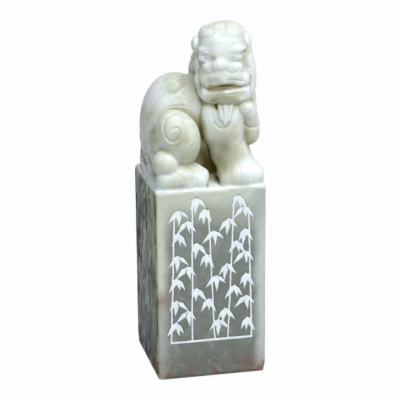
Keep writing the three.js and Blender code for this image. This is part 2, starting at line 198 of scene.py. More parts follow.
def side_view(turn, rise=0.0):
    """A flat view from another side: across and up in millimetres, from the middle of the block"""
    turn, rise = math.radians(turn), math.radians(rise)
    back = np.array(
        [math.sin(turn) * math.cos(rise), -math.cos(turn) * math.cos(rise), math.sin(rise)]
    )
    across = np.array([math.cos(turn), math.sin(turn), 0.0])
    up = np.cross(back, across)

    def seen(spots):
        places = np.stack([spots @ across, spots @ up], 1)
        return places, np.ones(len(spots)), np.broadcast_to(back, spots.shape)

    return seen


BACK = side_view(180)


def add_node(tree, kind, **values):
    """A shader node with its settings and inputs"""
    node = tree.nodes.new(kind)
    for name, value in values.items():
        if name in node.inputs:
            node.inputs[name].default_value = value
        else:
            setattr(node, name, value)
    return node


def ramp(tree, source, stops):
    """Colours or greys laid along a value"""
    node = tree.nodes.new("ShaderNodeValToRGB")
    node.color_ramp.interpolation = "EASE"
    while len(node.color_ramp.elements) < len(stops):
        node.color_ramp.elements.new(0.5)
    for element, (place, colour) in zip(node.color_ramp.elements, stops):
        element.position = place
        element.color = (*colour, 1) if isinstance(colour, tuple) else (colour, colour, colour, 1)
    tree.links.new(source, node.inputs["Fac"])
    return node.outputs["Color"]


NOTHING = (0.0, 0.0, 0.0)


def blend_colour(tree, share, a, b, mode="MIX"):
    """Two colours mixed by a share"""
    node = tree.nodes.new("ShaderNodeMix")
    node.data_type = "RGBA"
    node.blend_type = mode
    node.clamp_factor = True
    for socket, value in ((node.inputs[0], share), (node.inputs[6], a), (node.inputs[7], b)):
        if hasattr(value, "node"):
            tree.links.new(value, socket)
        else:
            socket.default_value = (*value, 1) if isinstance(value, tuple) else value
    return node.outputs[2]


def cloud(tree, place, scale, detail=4.0, rough=0.55, twist=0.0):
    """Soft cloudy noise in the stone"""
    node = add_node(
        tree, "ShaderNodeTexNoise", Scale=scale, Detail=detail, Roughness=rough, Distortion=twist
    )
    tree.links.new(place, node.inputs["Vector"])
    return node.outputs["Fac"]


def polished_stone(name, glow):
    """A material with the skin of polished soft stone, which glows by this much of the light that
    sinks into it: with its nodes, its shader and the places on it, ready for its colours"""
    material = bpy.data.materials.new(name)
    material.use_nodes = True
    tree = material.node_tree
    body = tree.nodes["Principled BSDF"]
    body.inputs["IOR"].default_value = 1.55
    body.inputs["Subsurface Weight"].default_value = glow
    body.inputs["Subsurface Radius"].default_value = (1.0, 0.95, 0.8)
    body.inputs["Subsurface Scale"].default_value = 0.0011
    place = tree.nodes.new("ShaderNodeTexCoord").outputs["Object"]
    sheen = ramp(tree, cloud(tree, place, 600, 3, 0.6), [(0.3, 0.34), (0.7, 0.5)])
    tree.links.new(sheen, body.inputs["Roughness"])
    bump = add_node(tree, "ShaderNodeBump", Strength=0.12, Distance=0.00012)
    tree.links.new(cloud(tree, place, 900, 4, 0.6), bump.inputs["Height"])
    tree.links.new(bump.outputs[0], body.inputs["Normal"])
    return material, tree, body, place


def marked(tree, name):
    """A value kept at the spots of the mesh, for the shader"""
    return add_node(tree, "ShaderNodeAttribute", attribute_name=name).outputs["Fac"]


def carving_stone(name, pale, cloudy, olive, deep_shade_colour, wisp_and_glow=(0.82, 0.87, 0.91), veining=0.35):
    """The lion's stone: waxy and clouded, with painted light that whitens it where it is thin enough to
    let light through and on its pale patches, painted shade that turns it olive in its folds and amber
    deep in, and olive to brown where it is stained or given painted shade"""
    material, tree, body, place = polished_stone(name, 0.6)
    clouds = ramp(tree, cloud(tree, place, 95, 3, 0.5, 0.6), [(0.38, 0.0), (0.72, 1.0)])
    colour = blend_colour(tree, clouds, pale, cloudy)
    wisps = ramp(tree, cloud(tree, place, 260, 5, 0.6, 1.2), [(0.46, 0.0), (0.64, 0.4 + veining / 3)])
    colour = blend_colour(tree, wisps, colour, wisp_and_glow)
    warm = ramp(tree, cloud(tree, place, 135, 4, 0.6, 0.9), [(0.52, 0.0), (0.7, 0.45)])
    colour = blend_colour(tree, warm, colour, (0.80, 0.76, 0.58), "MULTIPLY")
    # Painted light: a glow where the stone is thin, raised further on the pale patches
    painted_glow = marked(tree, "painted_glow")
    streaks = ramp(tree, cloud(tree, place, 190, 6, 0.66, 1.2), [(0.45, 0.0), (0.62, veining)])
    solid = ramp(tree, painted_glow, [(0.0, 1.0), (0.3, 0.0)])
    streaks = blend_colour(tree, solid, NOTHING, streaks)
    colour = blend_colour(tree, streaks, colour, cloudy, "MULTIPLY")
    flecks = ramp(tree, cloud(tree, place, 520, 4, 0.65, 0.8), [(0.48, 0.0), (0.62, 0.5 * veining)])
    colour = blend_colour(tree, flecks, colour, cloudy, "MULTIPLY")
    # Painted light: whitened toward the wisp colour where the glow is
    colour = blend_colour(tree, ramp(tree, painted_glow, [(0.03, 0.0), (0.75, 0.85)]), colour, wisp_and_glow)
    # Painted shade: the folds turn olive, and amber deep in them, by how sheltered each spot is
    painted_fold_shade = marked(tree, "painted_fold_shade")
    olive_shade = ramp(tree, painted_fold_shade, [(0.12, 0.0), (0.55, 0.85)])
    veiled = ramp(tree, painted_glow, [(0.2, 1.0), (0.9, 0.35)])
    colour = blend_colour(tree, blend_colour(tree, veiled, NOTHING, olive_shade), colour, olive)
    deep = ramp(tree, painted_fold_shade, [(0.55, 0.0), (1.0, 0.9)])
    colour = blend_colour(tree, deep, colour, deep_shade_colour)
    # Stains, and painted shade under the jaw and chin, between the legs and beside the beard, turn the
    # colour olive and then brown
    stain_and_shade = marked(tree, "stain_and_shade")
    patchy = add_node(tree, "ShaderNodeMath", operation="MULTIPLY_ADD")
    tree.links.new(cloud(tree, place, 180, 4, 0.6, 0.8), patchy.inputs[0])
    patchy.inputs[1].default_value = 0.6
    patchy.inputs[2].default_value = 0.95
    spread = add_node(tree, "ShaderNodeMath", operation="MULTIPLY")
    tree.links.new(stain_and_shade, spread.inputs[0])
    tree.links.new(patchy.outputs[0], spread.inputs[1])
    stain_and_shade_colour = ramp(tree, stain_and_shade, [(0.5, (0.40, 0.39, 0.23)), (0.8, (0.10, 0.08, 0.018))])
    colour = blend_colour(tree, spread.outputs[0], colour, stain_and_shade_colour)
    tree.links.new(colour, body.inputs["Base Color"])
    tree.links.new(ramp(tree, stain_and_shade, [(0.2, 0.35), (0.7, 0.0)]), body.inputs["Specular IOR Level"])
    return material


# The lion's pale green, and the colours of the painted shade in its folds: olive, and amber deep in
PALE_GREEN = (0.74, 0.78, 0.70)
FOLD_SHADE_OLIVE = (0.47, 0.46, 0.28)
DEEP_SHADE_AMBER = (0.22, 0.17, 0.06)
lion_stone = carving_stone("lion_stone", PALE_GREEN, (0.63, 0.67, 0.57), FOLD_SHADE_OLIVE, DEEP_SHADE_AMBER)
trunk_stone = carving_stone(
    "trunk_stone", PALE_GREEN, (0.58, 0.62, 0.53), FOLD_SHADE_OLIVE, DEEP_SHADE_AMBER, veining=0.9
)
trunk = carve(
    "lion_trunk", trunk_stone,
    [
        swell(seated(-5.4, 5.2, 10.4), (9.6, 9.2, 12.5)),
        swell(seated(-5.8, 3.2, 17.2), (8.2, 8.8, 10.2)),
        swell(seated(3.4, 0.6, 14), (8.2, 7.2, 10)),
        limb(seated(4.5, -1.5, 25), seated(3.4, 0, 17), 6.2, 6.6),
        limb(seated(0.2, -1.6, 12), seated(0.8, -3.2, 0.5), 4.0, 4.4),
        swell(seated(-10.0, -4.6, 9.0), (4.4, 5.2, 7.5)),
    ],
    fillet=4.0, seat=1.0,
    stains_shades_and_lights=[
        (seated(-0.2, -6.8, 7.6), 5.0, 0.7), (seated(1.7, -7.4, 3.6), 4.2, 0.95),
        (seated(-12.3, 1.4, 23.2), 5.0, -0.9), (seated(-10, -3.8, 20.6), 3.5, -0.7),
        (seated(-1.8, -6.3, 19.5), 3.2, -0.8), (seated(-6.4, -0.6, 26), 6.5, 0.08),
        (seated(-0.6, -7.4, 14), 3.0, 0.25),
    ],
    lines=[
        (front_view, [
            (
                [(157.5, 127), (158.5, 118), (163, 111.5), (171, 107.8), (182, 107.6), (190, 110)],
                0.3, -0.16,
            ),
            ([(156, 129), (156.8, 117.5), (162, 109.5), (171, 105.6), (183, 105.4)], 0.35, 0.1),
            ([(194, 70), (195, 84), (199, 97), (203, 106)], 0.6, 0.4),
            ([(150, 140), (152, 150), (154, 156)], 0.5, 0.3),
        ]),
        (BACK, [
            ([(3, 80), (4.5, 74), (6, 66), (6.4, 60)], 0.6, 0.35),
            ([(4.8, 79), (6.5, 72), (8, 64)], 0.5, -0.2),
        ]),
    ],
)
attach(trunk, "root")
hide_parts("trunk", "neck")

# The far hind leg
# Only its haunch and foot show, round on the right side: the haunch is a smooth swell with a curl cut
# in it, and the foot lies forward along the edge, with two cuts between the toes.
RIGHT = side_view(90)


def curl(middle, radius, start, turns, hand=1):
    """The corners of a spiral that winds inwards"""
    steps = max(8, int(abs(turns) * 18))
    corners = []
    for i in range(steps + 1):
        share = i / steps
        angle = math.radians(start) + hand * share * turns * 2 * math.pi
        reach = radius * (1 - 0.8 * share)
        corners.append((middle[0] + reach * math.cos(angle), middle[1] + reach * math.sin(angle)))
    return corners


far_leg = carve(
    "lion_far_hind_leg", lion_stone,
    [
        swell(seated(6.6, 7.4, 9), (8, 7.2, 9.2)),
        limb(seated(11.9, 10.8, 2.2), seated(12.2, 1.2, 2.4), 3, 2.8),
    ],
    fillet=1.6, seat=1.2,
    lines=[
        (RIGHT, [
            (curl((8.6, 64.5), 4.2, 200, 1.4), 0.5, 0.4),
            ([(1.5, 56), (1.2, 53)], 0.5, 0.35),
            ([(-0.4, 56), (-0.9, 53)], 0.5, 0.35),
        ]),
    ],
)
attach(far_leg, "root")
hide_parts("far_thigh", "far_hind_foot")

# The tail
# A tuft laid up against the rump and forward along the left edge of the ledge, its hair cut in long
# strands. It is of the same block, where the stone turns dark blue grey.
LEFT = side_view(-90)
tail_stone = carving_stone(
    "tail_stone", (0.34, 0.40, 0.38), (0.20, 0.25, 0.24), (0.20, 0.23, 0.19), (0.08, 0.09, 0.06),
    wisp_and_glow=(0.62, 0.70, 0.72),
)
tail = carve(
    "lion_tail", tail_stone,
    [
        limb(seated(-10.9, 11.6, 2.6), seated(-11.2, 11.4, 9), 2.9, 2.5),
        limb(seated(-11.2, 11.4, 9), seated(-10.2, 12, 13.6), 2.5, 1.4),
        limb(seated(-12, 9.6, 2), seated(-13.4, 0.6, 1.5), 2.3, 1.5),
        limb(seated(-13.4, 0.6, 1.5), seated(-13.6, -4.6, 1.1), 1.5, 0.9),
        limb(seated(-13, 6.4, 4.4), seated(-13.3, 0.4, 5.4), 1.5, 0.9),
        limb(seated(-12.6, 0.6, 9.5), seated(-12.9, -5.2, 2.4), 1.9, 1.7),
        limb(seated(-13.2, 0.6, 5.4), seated(-13.4, -4.4, 2.2), 1.3, 1.3),
        limb(seated(-13.2, -5, 1.2), seated(-12.9, -12.4, 0.5), 1.5, 1.4),
    ],
    fillet=1.2, seat=0.6,
    lines=[
        (LEFT, [
            ([(-11 + 2.2 * i, 54.4 + 0.5 * i), (-9 + 2.2 * i, 56.6), (-6 + 2 * i, 57.4)], 0.35, 0.3)
            for i in range(5)
        ] + [
            ([(-13, 55 + 2 * i), (-12, 58 + 2 * i), (-12.6, 62 + 1.2 * i)], 0.35, 0.3) for i in range(3)
        ]),
        (BACK, [
            ([(9 + 1.3 * i, 54), (9.4 + 1.2 * i, 60), (9.8 + 0.7 * i, 65)], 0.35, 0.3) for i in range(4)
        ]),
        (front_view, [
            (
                [
                    (139.6 + 2.4 * i, 138 + 5 * i), (141.6 + 2.6 * i, 154 + 4 * i),
                    (147.5 + 2 * i, 174 + 2 * i),
                ],
                0.3, 0.4,
            )
            for i in range(5)
        ] + [([(145.5, 150), (148.3, 160), (150.5, 171), (153, 180)], 0.35, -0.25)]),
    ],
)
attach(tail, "root")
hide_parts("tail")

# The near hind leg
# The thigh carries a curl cut round its swell, the hock is a plain ball, and the foot lies along the
# front edge with its toes parted by the knife.
near_thigh = carve(
    "lion_near_thigh", lion_stone,
    [
        swell(seated(-6.8, -9.2, 11.8), (5.2, 5.2, 7.3)),
        swell(seated(-9.2, -9.2, 15.6), (4.1, 4.4, 4.6)),
        swell(seated(-8.9, -12.2, 14.9), (2.9, 1.9, 3.3)),
    ],
    fillet=2.0, seat=1.2,
    lines=[
        (front_view, [
            (
                [(178, 113.6), (172, 114), (167.4, 117), (164.6, 121.6), (163.6, 126), (163.7, 131),
                 (165.5, 136.8), (169, 140.8), (173.3, 141.8), (177.4, 139.6), (180, 135.6),
                 (180.6, 132), (179, 128.6), (175.8, 127.8), (173, 129.6)],
                0.42, 0.3,
            ),
            ([(165, 139.5), (169, 143.6), (174, 144.8), (179.6, 142)], 0.5, -0.14),
        ]),
    ],
    stains_shades_and_lights=[
        (seated(-4.2, -13.4, 8.2), 4.8, 0.4), (seated(-8.8, -13, 17), 3.2, 0.14),
        (seated(-3, -12.2, 16.5), 1.9, 0.3), (seated(-12.2, -10.2, 10.8), 3.0, -0.9),
        (seated(-8.2, -14.0, 13.6), 2.2, 0.5), (seated(-1.6, -10, 6), 3.5, 0.4),
    ],
)
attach(near_thigh, "root")
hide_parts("near_thigh")

near_hock = carve(
    "lion_near_hock", lion_stone, [swell(seated(-11.2, -10.6, 6.35), (3.55, 3.8, 3.8))],
    fillet=1.0, seat=0.5,
)
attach(near_hock, "root")
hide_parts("near_hock")

near_foot = carve(
    "lion_near_hind_foot", lion_stone,
    [
        limb(seated(-11.4, -11.8, 2.2), seated(-5.4, -11.8, 2.6), 2.7, 2.7),
        limb(seated(-5.6, -9.4, 5.0), seated(-1.7, -10.6, 2.5), 2.1, 2.1),
        limb(seated(-6.8, -11.0, 4.0), seated(-2.6, -12.8, 1.6), 2.0, 1.9),
        limb(seated(-9.0, -11.6, 3.2), seated(-6.0, -12.9, 1.4), 2.0, 1.8),
    ],
    fillet=1.7, seat=0.7,
    lines=[
        (front_view, [
            ([(197, 165.5), (203.5, 170), (206.5, 177), (206.5, 186)], 0.32, 0.14),
            ([(188, 167.5), (193.5, 172), (196.5, 179), (196.5, 187)], 0.32, 0.14),
            ([(176, 174), (182, 177), (185.5, 183), (185.5, 188)], 0.32, 0.1),
        ]),
    ],
    stains_shades_and_lights=[
        (seated(-7.4, -14.6, 1.2), 1.6, 0.22), (seated(-10.2, -14.6, 0.4), 2.6, 0.25),
        (seated(-5, -12, 3.6), 5.0, 0.1), (seated(-5.7, -12.7, 5.7), 2.2, 0.42),
    ],
)
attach(near_foot, "root")
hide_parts("near_hind_foot")

# The standing foreleg
# Breast, leg and paw are one sweep. A looped line is cut on the breast, and shallow lines part the
# toes.
foreleg = carve(
    "lion_standing_foreleg", lion_stone,
    [
        swell(seated(5, -8, 17.2), (5.6, 5.4, 6.8)),
        limb(seated(1.3, -8.6, 19), seated(0.9, -8.6, 13.6), 1.8, 1.8),
        limb(seated(5, -8, 13), seated(6.9, -8.4, 4), 4.8, 3.9),
        limb(seated(6.6, -8.6, 7.5), seated(10.0, -10.0, 2.6), 4.4, 3.7),
        swell(seated(9.4, -9.7, 2.2), (5.9, 5.2, 3.2)),
        limb(seated(5.4, -12.4, 1.4), seated(13, -11.8, 1.6), 1.9, 1.9),
        limb(seated(9.6, -5.8, 11), seated(11.6, -5.6, 3), 2.0, 2.3),
    ],
    fillet=2.4, seat=0.8,
    lines=[
        (front_view, [
            (
                [(212.2, 116), (213, 120.5), (215, 124.6), (219, 127.8), (223.9, 128.9), (228.3, 127.4),
                 (231.1, 124), (230.6, 121)],
                0.32, 0.2,
            ),
            ([(232, 168), (230, 174), (229, 180), (229.5, 185)], 0.32, 0.16),
            ([(240, 168), (241, 174), (241, 180), (240.5, 186)], 0.32, 0.18),
            ([(249.5, 167), (252.5, 173), (253.5, 179), (253, 184)], 0.32, 0.18),
            ([(242.5, 140), (243.5, 148), (246, 158)], 0.35, 0.22),
            ([(221.5, 104), (222.2, 110), (223, 116)], 0.3, 0.12),
        ]),
    ],
    stains_shades_and_lights=[
        (seated(4.4, -12.6, 10.6), 5.0, 0.62), (seated(3.2, -11.6, 7.0), 3.4, 0.45),
        (seated(10.4, -13.4, 3.6), 5.6, -0.95), (seated(0.6, -8, 8), 3.6, 0.6),
        (seated(1.8, -8.4, 3.6), 3.6, 0.95), (seated(2.4, -11.8, 21.4), 1.9, 0.92),
        (seated(7.6, -12.4, 22.4), 1.6, 0.5),
        (seated(8.4, -14.8, 0.6), 2.6, 0.3), (seated(0.4, -10.6, 18.2), 3.0, -0.85),
        (seated(4.2, -13, 4.2), 3.0, 0.48), (seated(8.2, -13, 8.1), 2.8, 0.3),
        (seated(6.9, -13.4, 18.4), 2.6, -0.6),
    ],
)
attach(foreleg, "root")
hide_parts("standing_foreleg", "standing_forepaw")

# The raised foreleg
# Upper arm and forearm are folded together with a crease at the elbow, and the small paw is tucked
# under the chin.
raised_leg = carve(
    "lion_raised_foreleg", lion_stone,
    [
        limb(seated(12, -3.8, 21.6), seated(12, -5.6, 17.6), 2.9, 2.8),
        swell(seated(11.9, -7, 12.4), (3.1, 3.3, 3.3)),
        limb(seated(12, -7.4, 15.2), seated(11.2, -9.4, 18.4), 2.9, 2.4),
    ],
    fillet=1.6, seat=0.8,
    lines=[
        (front_view, [
            ([(244, 122), (246, 126), (250.5, 127.6), (257.5, 126.6)], 0.4, 0.24),
            ([(245, 125), (247, 129.4), (251, 130.6), (257, 129.6)], 0.4, -0.12),
            ([(246.5, 111), (252, 113)], 0.5, 0.08),
        ]),
    ],
    stains_shades_and_lights=[
        (seated(10.6, -10.2, 13), 3.2, 0.6), (seated(11.4, -9.6, 10.2), 2.6, 0.42),
        (seated(9.8, -10.6, 17.2), 2.2, 0.45), (seated(13.6, -8.6, 18), 3.2, -0.6),
    ],
)
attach(raised_leg, "root")
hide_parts("raised_upper_arm", "raised_forearm")

raised_paw = carve(
    "lion_raised_forepaw", lion_stone, [swell(seated(9.5, -10.3, 20.2), (2.6, 1.9, 1.8))],
    fillet=0.6, seat=2.2,
    lines=[
        (front_view, [
            ([(240, 106), (240.5, 110.5)], 0.25, 0.12),
            ([(244, 105.5), (244.5, 110.5)], 0.25, 0.12),
        ]),
    ],
    stains_shades_and_lights=[(seated(8.6, -12.0, 20.2), 2.2, 0.5), (seated(11.4, -11.6, 20.6), 2.0, -0.7)],
)
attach(raised_paw, "root")
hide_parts("raised_forepaw")

# The nape
# A mane of rolled curls down the back of the neck, left standing on the neck's stone and cut with the
# knife in rows.
nape = carve(
    "lion_nape_mane", lion_stone, [swell(seated(5.4, 2.5, 27.5), (7.4, 7, 9))], fillet=1.5, seat=0.8,
    lines=[
        (BACK, [
            (
                curl((-5.2 + 3.7 * (i % 3), 87.6 - 4.1 * (i // 3)), 1.6, 90, 1.3, 1 - 2 * (i % 2)),
                0.4, 0.35,
            )
            for i in range(12)
        ]),
        (LEFT, [
            (curl((-3.4 - 3.4 * (i % 2), 87 - 4 * (i // 2)), 1.5, 60, 1.3), 0.4, 0.35)
            for i in range(6)
        ]),
        (RIGHT, [
            (curl((3.4 + 3.4 * (i % 2), 87 - 4 * (i // 2)), 1.5, 120, 1.3, -1), 0.4, 0.35)
            for i in range(6)
        ]),
    ],
)
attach(nape, "root")
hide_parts("nape_mane")

# The head
# Broad and flat faced, turned a little to its right: rolls of skin on the forehead, brow ridges over
# hollowed eyes, round cheeks, and an arched upper lip. Small holes are drilled where the folds end.
HEAD_TURN = math.radians(-12)
HEAD_MIDDLE = seated(6, -5.3, 31.6)


def on_head(across, forward, up):
    """A place on the turned head"""
    c, s = math.cos(HEAD_TURN), math.sin(HEAD_TURN)
    return HEAD_MIDDLE + np.array([across * c + forward * s, across * s - forward * c, up])


def head_swell(across, forward, up, halves, turn=0.0, lean=0.0):
    """A rounded mass on the head"""
    return swell(on_head(across, forward, up), halves, HEAD_TURN + turn, lean)


def head_limb(start, end, start_radius, end_radius=None):
    """A ridge or roll on the head"""
    return limb(on_head(*start), on_head(*end), start_radius, end_radius or start_radius)


LEFT_LIDS = [
    ([(200, 58.2), (202, 55.8), (204.7, 55), (207.7, 55.8), (209.8, 58.8)], 0.2, 0.16),
    ([(200, 60), (202.3, 63), (205, 64), (208.2, 62.4), (209.8, 59.4)], 0.2, 0.16),
]
RIGHT_LIDS = [
    ([(225.5, 60.5), (228, 62), (233, 62.6), (238, 61.8), (241, 59.5)], 0.25, 0.1),
    ([(226, 58), (229, 55), (234, 53.8), (239, 55), (241.5, 58)], 0.25, 0.06),
]
head = carve(
    "lion_head", lion_stone,
    [
        head_swell(-0.4, -0.5, 3.0, (6.9, 7.3, 6.6)),
        head_swell(-0.4, 2.0, -2.6, (6.5, 5.2, 6.4)),
        head_swell(-0.6, 2.2, 3.4, (6.3, 4.6, 5.4)),
        head_swell(-0.8, 4.1, 5.8, (5.2, 2.4, 2.3)),
        head_swell(-0.8, 1.6, 8.0, (3.4, 3.2, 2.2)),
        head_swell(-1.0, 5.1, -0.4, (4.7, 2.5, 1.9)),
        head_swell(-5.1, 4.4, 4.0, (1.9, 1.4, 0.8), lean=math.radians(-4)),
        head_swell(2.4, 5.0, 4.3, (3.0, 1.5, 1.0), turn=math.radians(8)),
        head_swell(-1.5, 5.9, 2.2, (2.3, 1.5, 3.0)),
        head_swell(-1.5, 6.9, 0.5, (2.0, 1.4, 1.5)),
        head_swell(-4.1, 5.1, -0.5, (1.6, 1.8, 1.7)),
        head_swell(2.0, 5.5, -0.4, (2.5, 1.9, 1.6)),
        head_swell(-0.3, 4.7, -2.7, (5.1, 3.6, 2.4)),
        head_limb((-0.4, 7.5, -3.65), (-4.4, 5.7, -5.3), 0.6, 0.6),
        head_limb((-0.4, 7.5, -3.65), (4.0, 6.1, -4.65), 0.6, 0.55),
        head_swell(-5.2, 4.4, -4.0, (1.5, 1.9, 1.9)),
        head_swell(4.9, 4.4, -3.8, (1.4, 1.9, 1.9)),
    ],
    fillet=1.1, seat=0.8,
    hollows=[
        head_swell(-5.0, 7.7, 2.0, (2.1, 0.9, 1.3)),
        head_swell(2.2, 9.0, 2.2, (2.4, 0.9, 1.1)),
        head_swell(-3.1, 8.0, 2.3, (0.6, 0.8, 0.6)),
        head_swell(-0.7, 7.9, -5.7, (3.9, 2.6, 1.0), lean=math.radians(-8)),
        head_swell(-3.6, 7.0, -6.1, (1.2, 1.4, 0.75)),
    ],
    hollow_edge=0.6,
    lines=[
        (front_view, [
            ([(203, 40), (216, 38.8), (230, 38.6), (242, 39.5)], 0.45, 0.05),
            ([(200.5, 51.6), (204, 50.6), (208.5, 51)], 0.22, 0.14),
            *LEFT_LIDS, *RIGHT_LIDS,
            ([(206, 73), (209.5, 74.2), (212.5, 72.5), (214.2, 69.5)], 0.3, 0.18),
            ([(225.5, 69.5), (228.5, 72.3), (233, 73.3), (237.5, 71.5), (239.5, 68.5)], 0.3, 0.16),
            (
                [(216.2, 63), (215.8, 67), (217, 70.5), (219.5, 71.5), (222.3, 70), (223, 66.5),
                 (222.5, 63)],
                0.25, 0.1,
            ),
            ([(207, 84), (211, 82.2), (216, 80.4)], 0.3, 0.1),
            ([(203, 87), (205, 82), (209, 79)], 0.3, 0.12),
            ([(226, 80.6), (234, 79.8), (241, 81)], 0.3, 0.15),
            ([(245, 50.9), (245, 51.1)], 0.4, 0.6),
            ([(241.5, 52.9), (241.5, 53.1)], 0.3, 0.35),
            ([(199.5, 84.4), (199.5, 84.6)], 0.4, 0.5),
            ([(243.5, 80.9), (243.5, 81.1)], 0.35, 0.35),
        ]),
    ],
    stains_shades_and_lights=[
        (on_head(-3.1, 6.9, 2.2), 1.0, 0.6), (on_head(2.2, 7.2, 2.6), 2.2, 0.14),
        (on_head(-6.4, 4.4, 4.0), 3.6, -0.95), (on_head(-5.1, 5.9, 3.8), 2.2, -0.9),
        (on_head(-5.4, 5.8, 1.2), 3.2, -0.9), (on_head(3.6, 6.2, 1.4), 3.0, -0.7),
        (on_head(3.2, 6.3, 3.7), 3.0, -0.95), (on_head(0.4, 8.0, -3.4), 3.4, 0.2),
        (on_head(0, 6, 5), 6.0, -0.4), (on_head(0, 4, 0), 12.0, -0.45),
        (on_head(-1.5, 8.1, 1.0), 2.4, -0.95),
        (on_head(-3.9, 6.6, -5.2), 1.2, 0.5), (on_head(-5.4, 5.6, -4.2), 1.8, 0.3),
    ],
)
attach(head, "root")
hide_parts("head", "brow", "nose", "upper_lip")

left_eye = carve(
    "lion_left_eye", lion_stone, [head_swell(-5.0, 4.7, 1.9, (2.0, 0.8, 1.4))], fillet=0.5, seat=0.6,
    lines=[
        (front_view, [
            ([(204.6, 58.8), (204.6, 58.9)], 0.35, 0.25),
            *LEFT_LIDS,
            ([(201, 59.5), (203, 57.6), (206, 57.4), (208.5, 59.2)], 0.18, 0.1),
        ]),
    ],
    stains_shades_and_lights=[(on_head(-5.0, 5.9, 1.8), 3.0, -0.8)],
)
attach(left_eye, "root")
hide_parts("left_eye")

right_eye = carve(
    "lion_right_eye", lion_stone, [head_swell(2.0, 5.8, 2.2, (2.5, 0.8, 1.2))], fillet=0.5, seat=0.6,
    lines=[
        (front_view, [
            ([(232.4, 57.6), (232.4, 57.7)], 0.35, 0.1),
            *RIGHT_LIDS,
        ]),
    ],
)
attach(right_eye, "root")
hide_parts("right_eye")

# The mouth
# The lower jaw has a rolled lip with a line cut under it. The tongue lies in the open mouth, where
# the stone shows its brown heart. The beard hangs from the chin in three locks.
jaw = carve(
    "lion_lower_jaw", lion_stone,
    [
        head_swell(0, 3.5, -8.8, (5.8, 4.9, 1.85)),
        head_swell(0.8, 4.4, -7.4, (4.2, 2.3, 1.2)),
        head_limb((-4.0, 5.6, -7.3), (0.2, 6.8, -6.95), 0.6, 0.7),
        head_limb((0.2, 6.8, -6.95), (4.4, 5.7, -6.3), 0.7, 0.55),
        head_swell(-5.5, 4.0, -7.2, (1.0, 1.8, 2.1)),
        head_swell(5.5, 4.0, -7.2, (0.9, 1.7, 2.0)),
    ],
    fillet=1.2, seat=0.5,
    lines=[(front_view, [([(216, 95.4), (222, 94.8), (230, 94.4), (239, 93.2)], 0.3, 0.16)])],
    stains_shades_and_lights=[
        (on_head(-3.6 + 1.7 * i, 7.2 + 0.45 * i - 0.11 * i * i, -8.5), 2.2, 0.55) for i in range(5)
    ],
)
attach(jaw, "root")
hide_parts("lower_jaw")

tongue_stone = carving_stone(
    "brown_heart_stone", (0.46, 0.38, 0.15), (0.38, 0.30, 0.10), (0.36, 0.28, 0.09), (0.20, 0.14, 0.04),
    wisp_and_glow=(0.55, 0.47, 0.24),
)
tongue = carve(
    "lion_tongue", tongue_stone, [head_swell(-0.1, 4.1, -5.85, (5.4, 2.6, 1.5))], fillet=0.5, seat=0.2
)
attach(tongue, "root")
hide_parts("tongue")

beard = carve(
    "lion_beard", lion_stone,
    [
        head_limb((-1.6, 6.9, -9.4), (-1.1, 7.9, -13.8), 0.75, 0.5),
        head_limb((-0.1, 7.2, -9.4), (-0.2, 8.3, -14.8), 0.85, 0.45),
        head_limb((1.4, 6.9, -9.4), (0.7, 8.1, -14.0), 0.75, 0.5),
    ],
    fillet=0.35, seat=0.6,
    lines=[
        (front_view, [
            ([(222.5, 105), (223.4, 110), (224.2, 117)], 0.2, 0.18),
            ([(226, 105), (226.3, 111), (226.4, 119)], 0.2, 0.18),
            ([(230, 105), (229.2, 110), (228.2, 117)], 0.2, 0.18),
        ]),
    ],
    stains_shades_and_lights=[(on_head(0, 8.4, -12), 4.0, -0.45), (on_head(-2.5, 7.1, -10.3), 1.3, 0.95)],
)
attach(beard, "root")
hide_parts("beard")

# The crown and the ears
# Two curls meet over the forehead, and the ears are swept back beside them. All four are carved from
# the head, with a spiral cut in each.
ABOVE = side_view(0, 89)
left_curl = carve(
    "lion_left_crown_curl", lion_stone, [head_swell(-3.1, -0.2, 7.4, (3.7, 5.4, 2.5))],
    fillet=1.0, seat=1.8,
    lines=[
        (front_view, [([(203, 35), (208, 33.2), (216, 32.4), (226, 32.3)], 0.4, 0.1)]),
        (ABOVE, [(curl((3.0, -3.6), 2.6, 200, 1.5), 0.4, 0.25)]),
    ],
)
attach(left_curl, "root")
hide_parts("left_crown_curl")

right_curl = carve(
    "lion_right_crown_curl", lion_stone, [head_swell(1.3, -0.4, 7.8, (3.9, 5.6, 2.75))],
    fillet=1.0, seat=1.8,
    lines=[
        (front_view, [([(228.5, 32.2), (236, 32.8), (242, 34)], 0.4, 0.1)]),
        (ABOVE, [(curl((8, -4.2), 2.8, -20, 1.5, -1), 0.4, 0.25)]),
    ],
    stains_shades_and_lights=[(on_head(1.4, 1.7, 10.6), 4.0, 0.1)],
)
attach(right_curl, "root")
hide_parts("right_crown_curl")

left_ear = carve(
    "lion_left_ear", lion_stone, [head_swell(-7.4, 0.9, 4.8, (1.5, 2.2, 2.2))], fillet=0.8, seat=0.6,
    lines=[(LEFT, [(curl((4.9, 89.6), 1.7, 90, 1.1), 0.35, 0.3)])],
)
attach(left_ear, "root")
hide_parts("left_ear")

right_ear = carve(
    "lion_right_ear", lion_stone, [head_swell(5.3, 0.9, 4.8, (1.7, 2.6, 3.1))], fillet=1.0, seat=0.7,
    lines=[(RIGHT, [(curl((-7.2, 89.2), 2.0, 90, 1.2, -1), 0.35, 0.3)])],
)
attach(right_ear, "root")
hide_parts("right_ear")

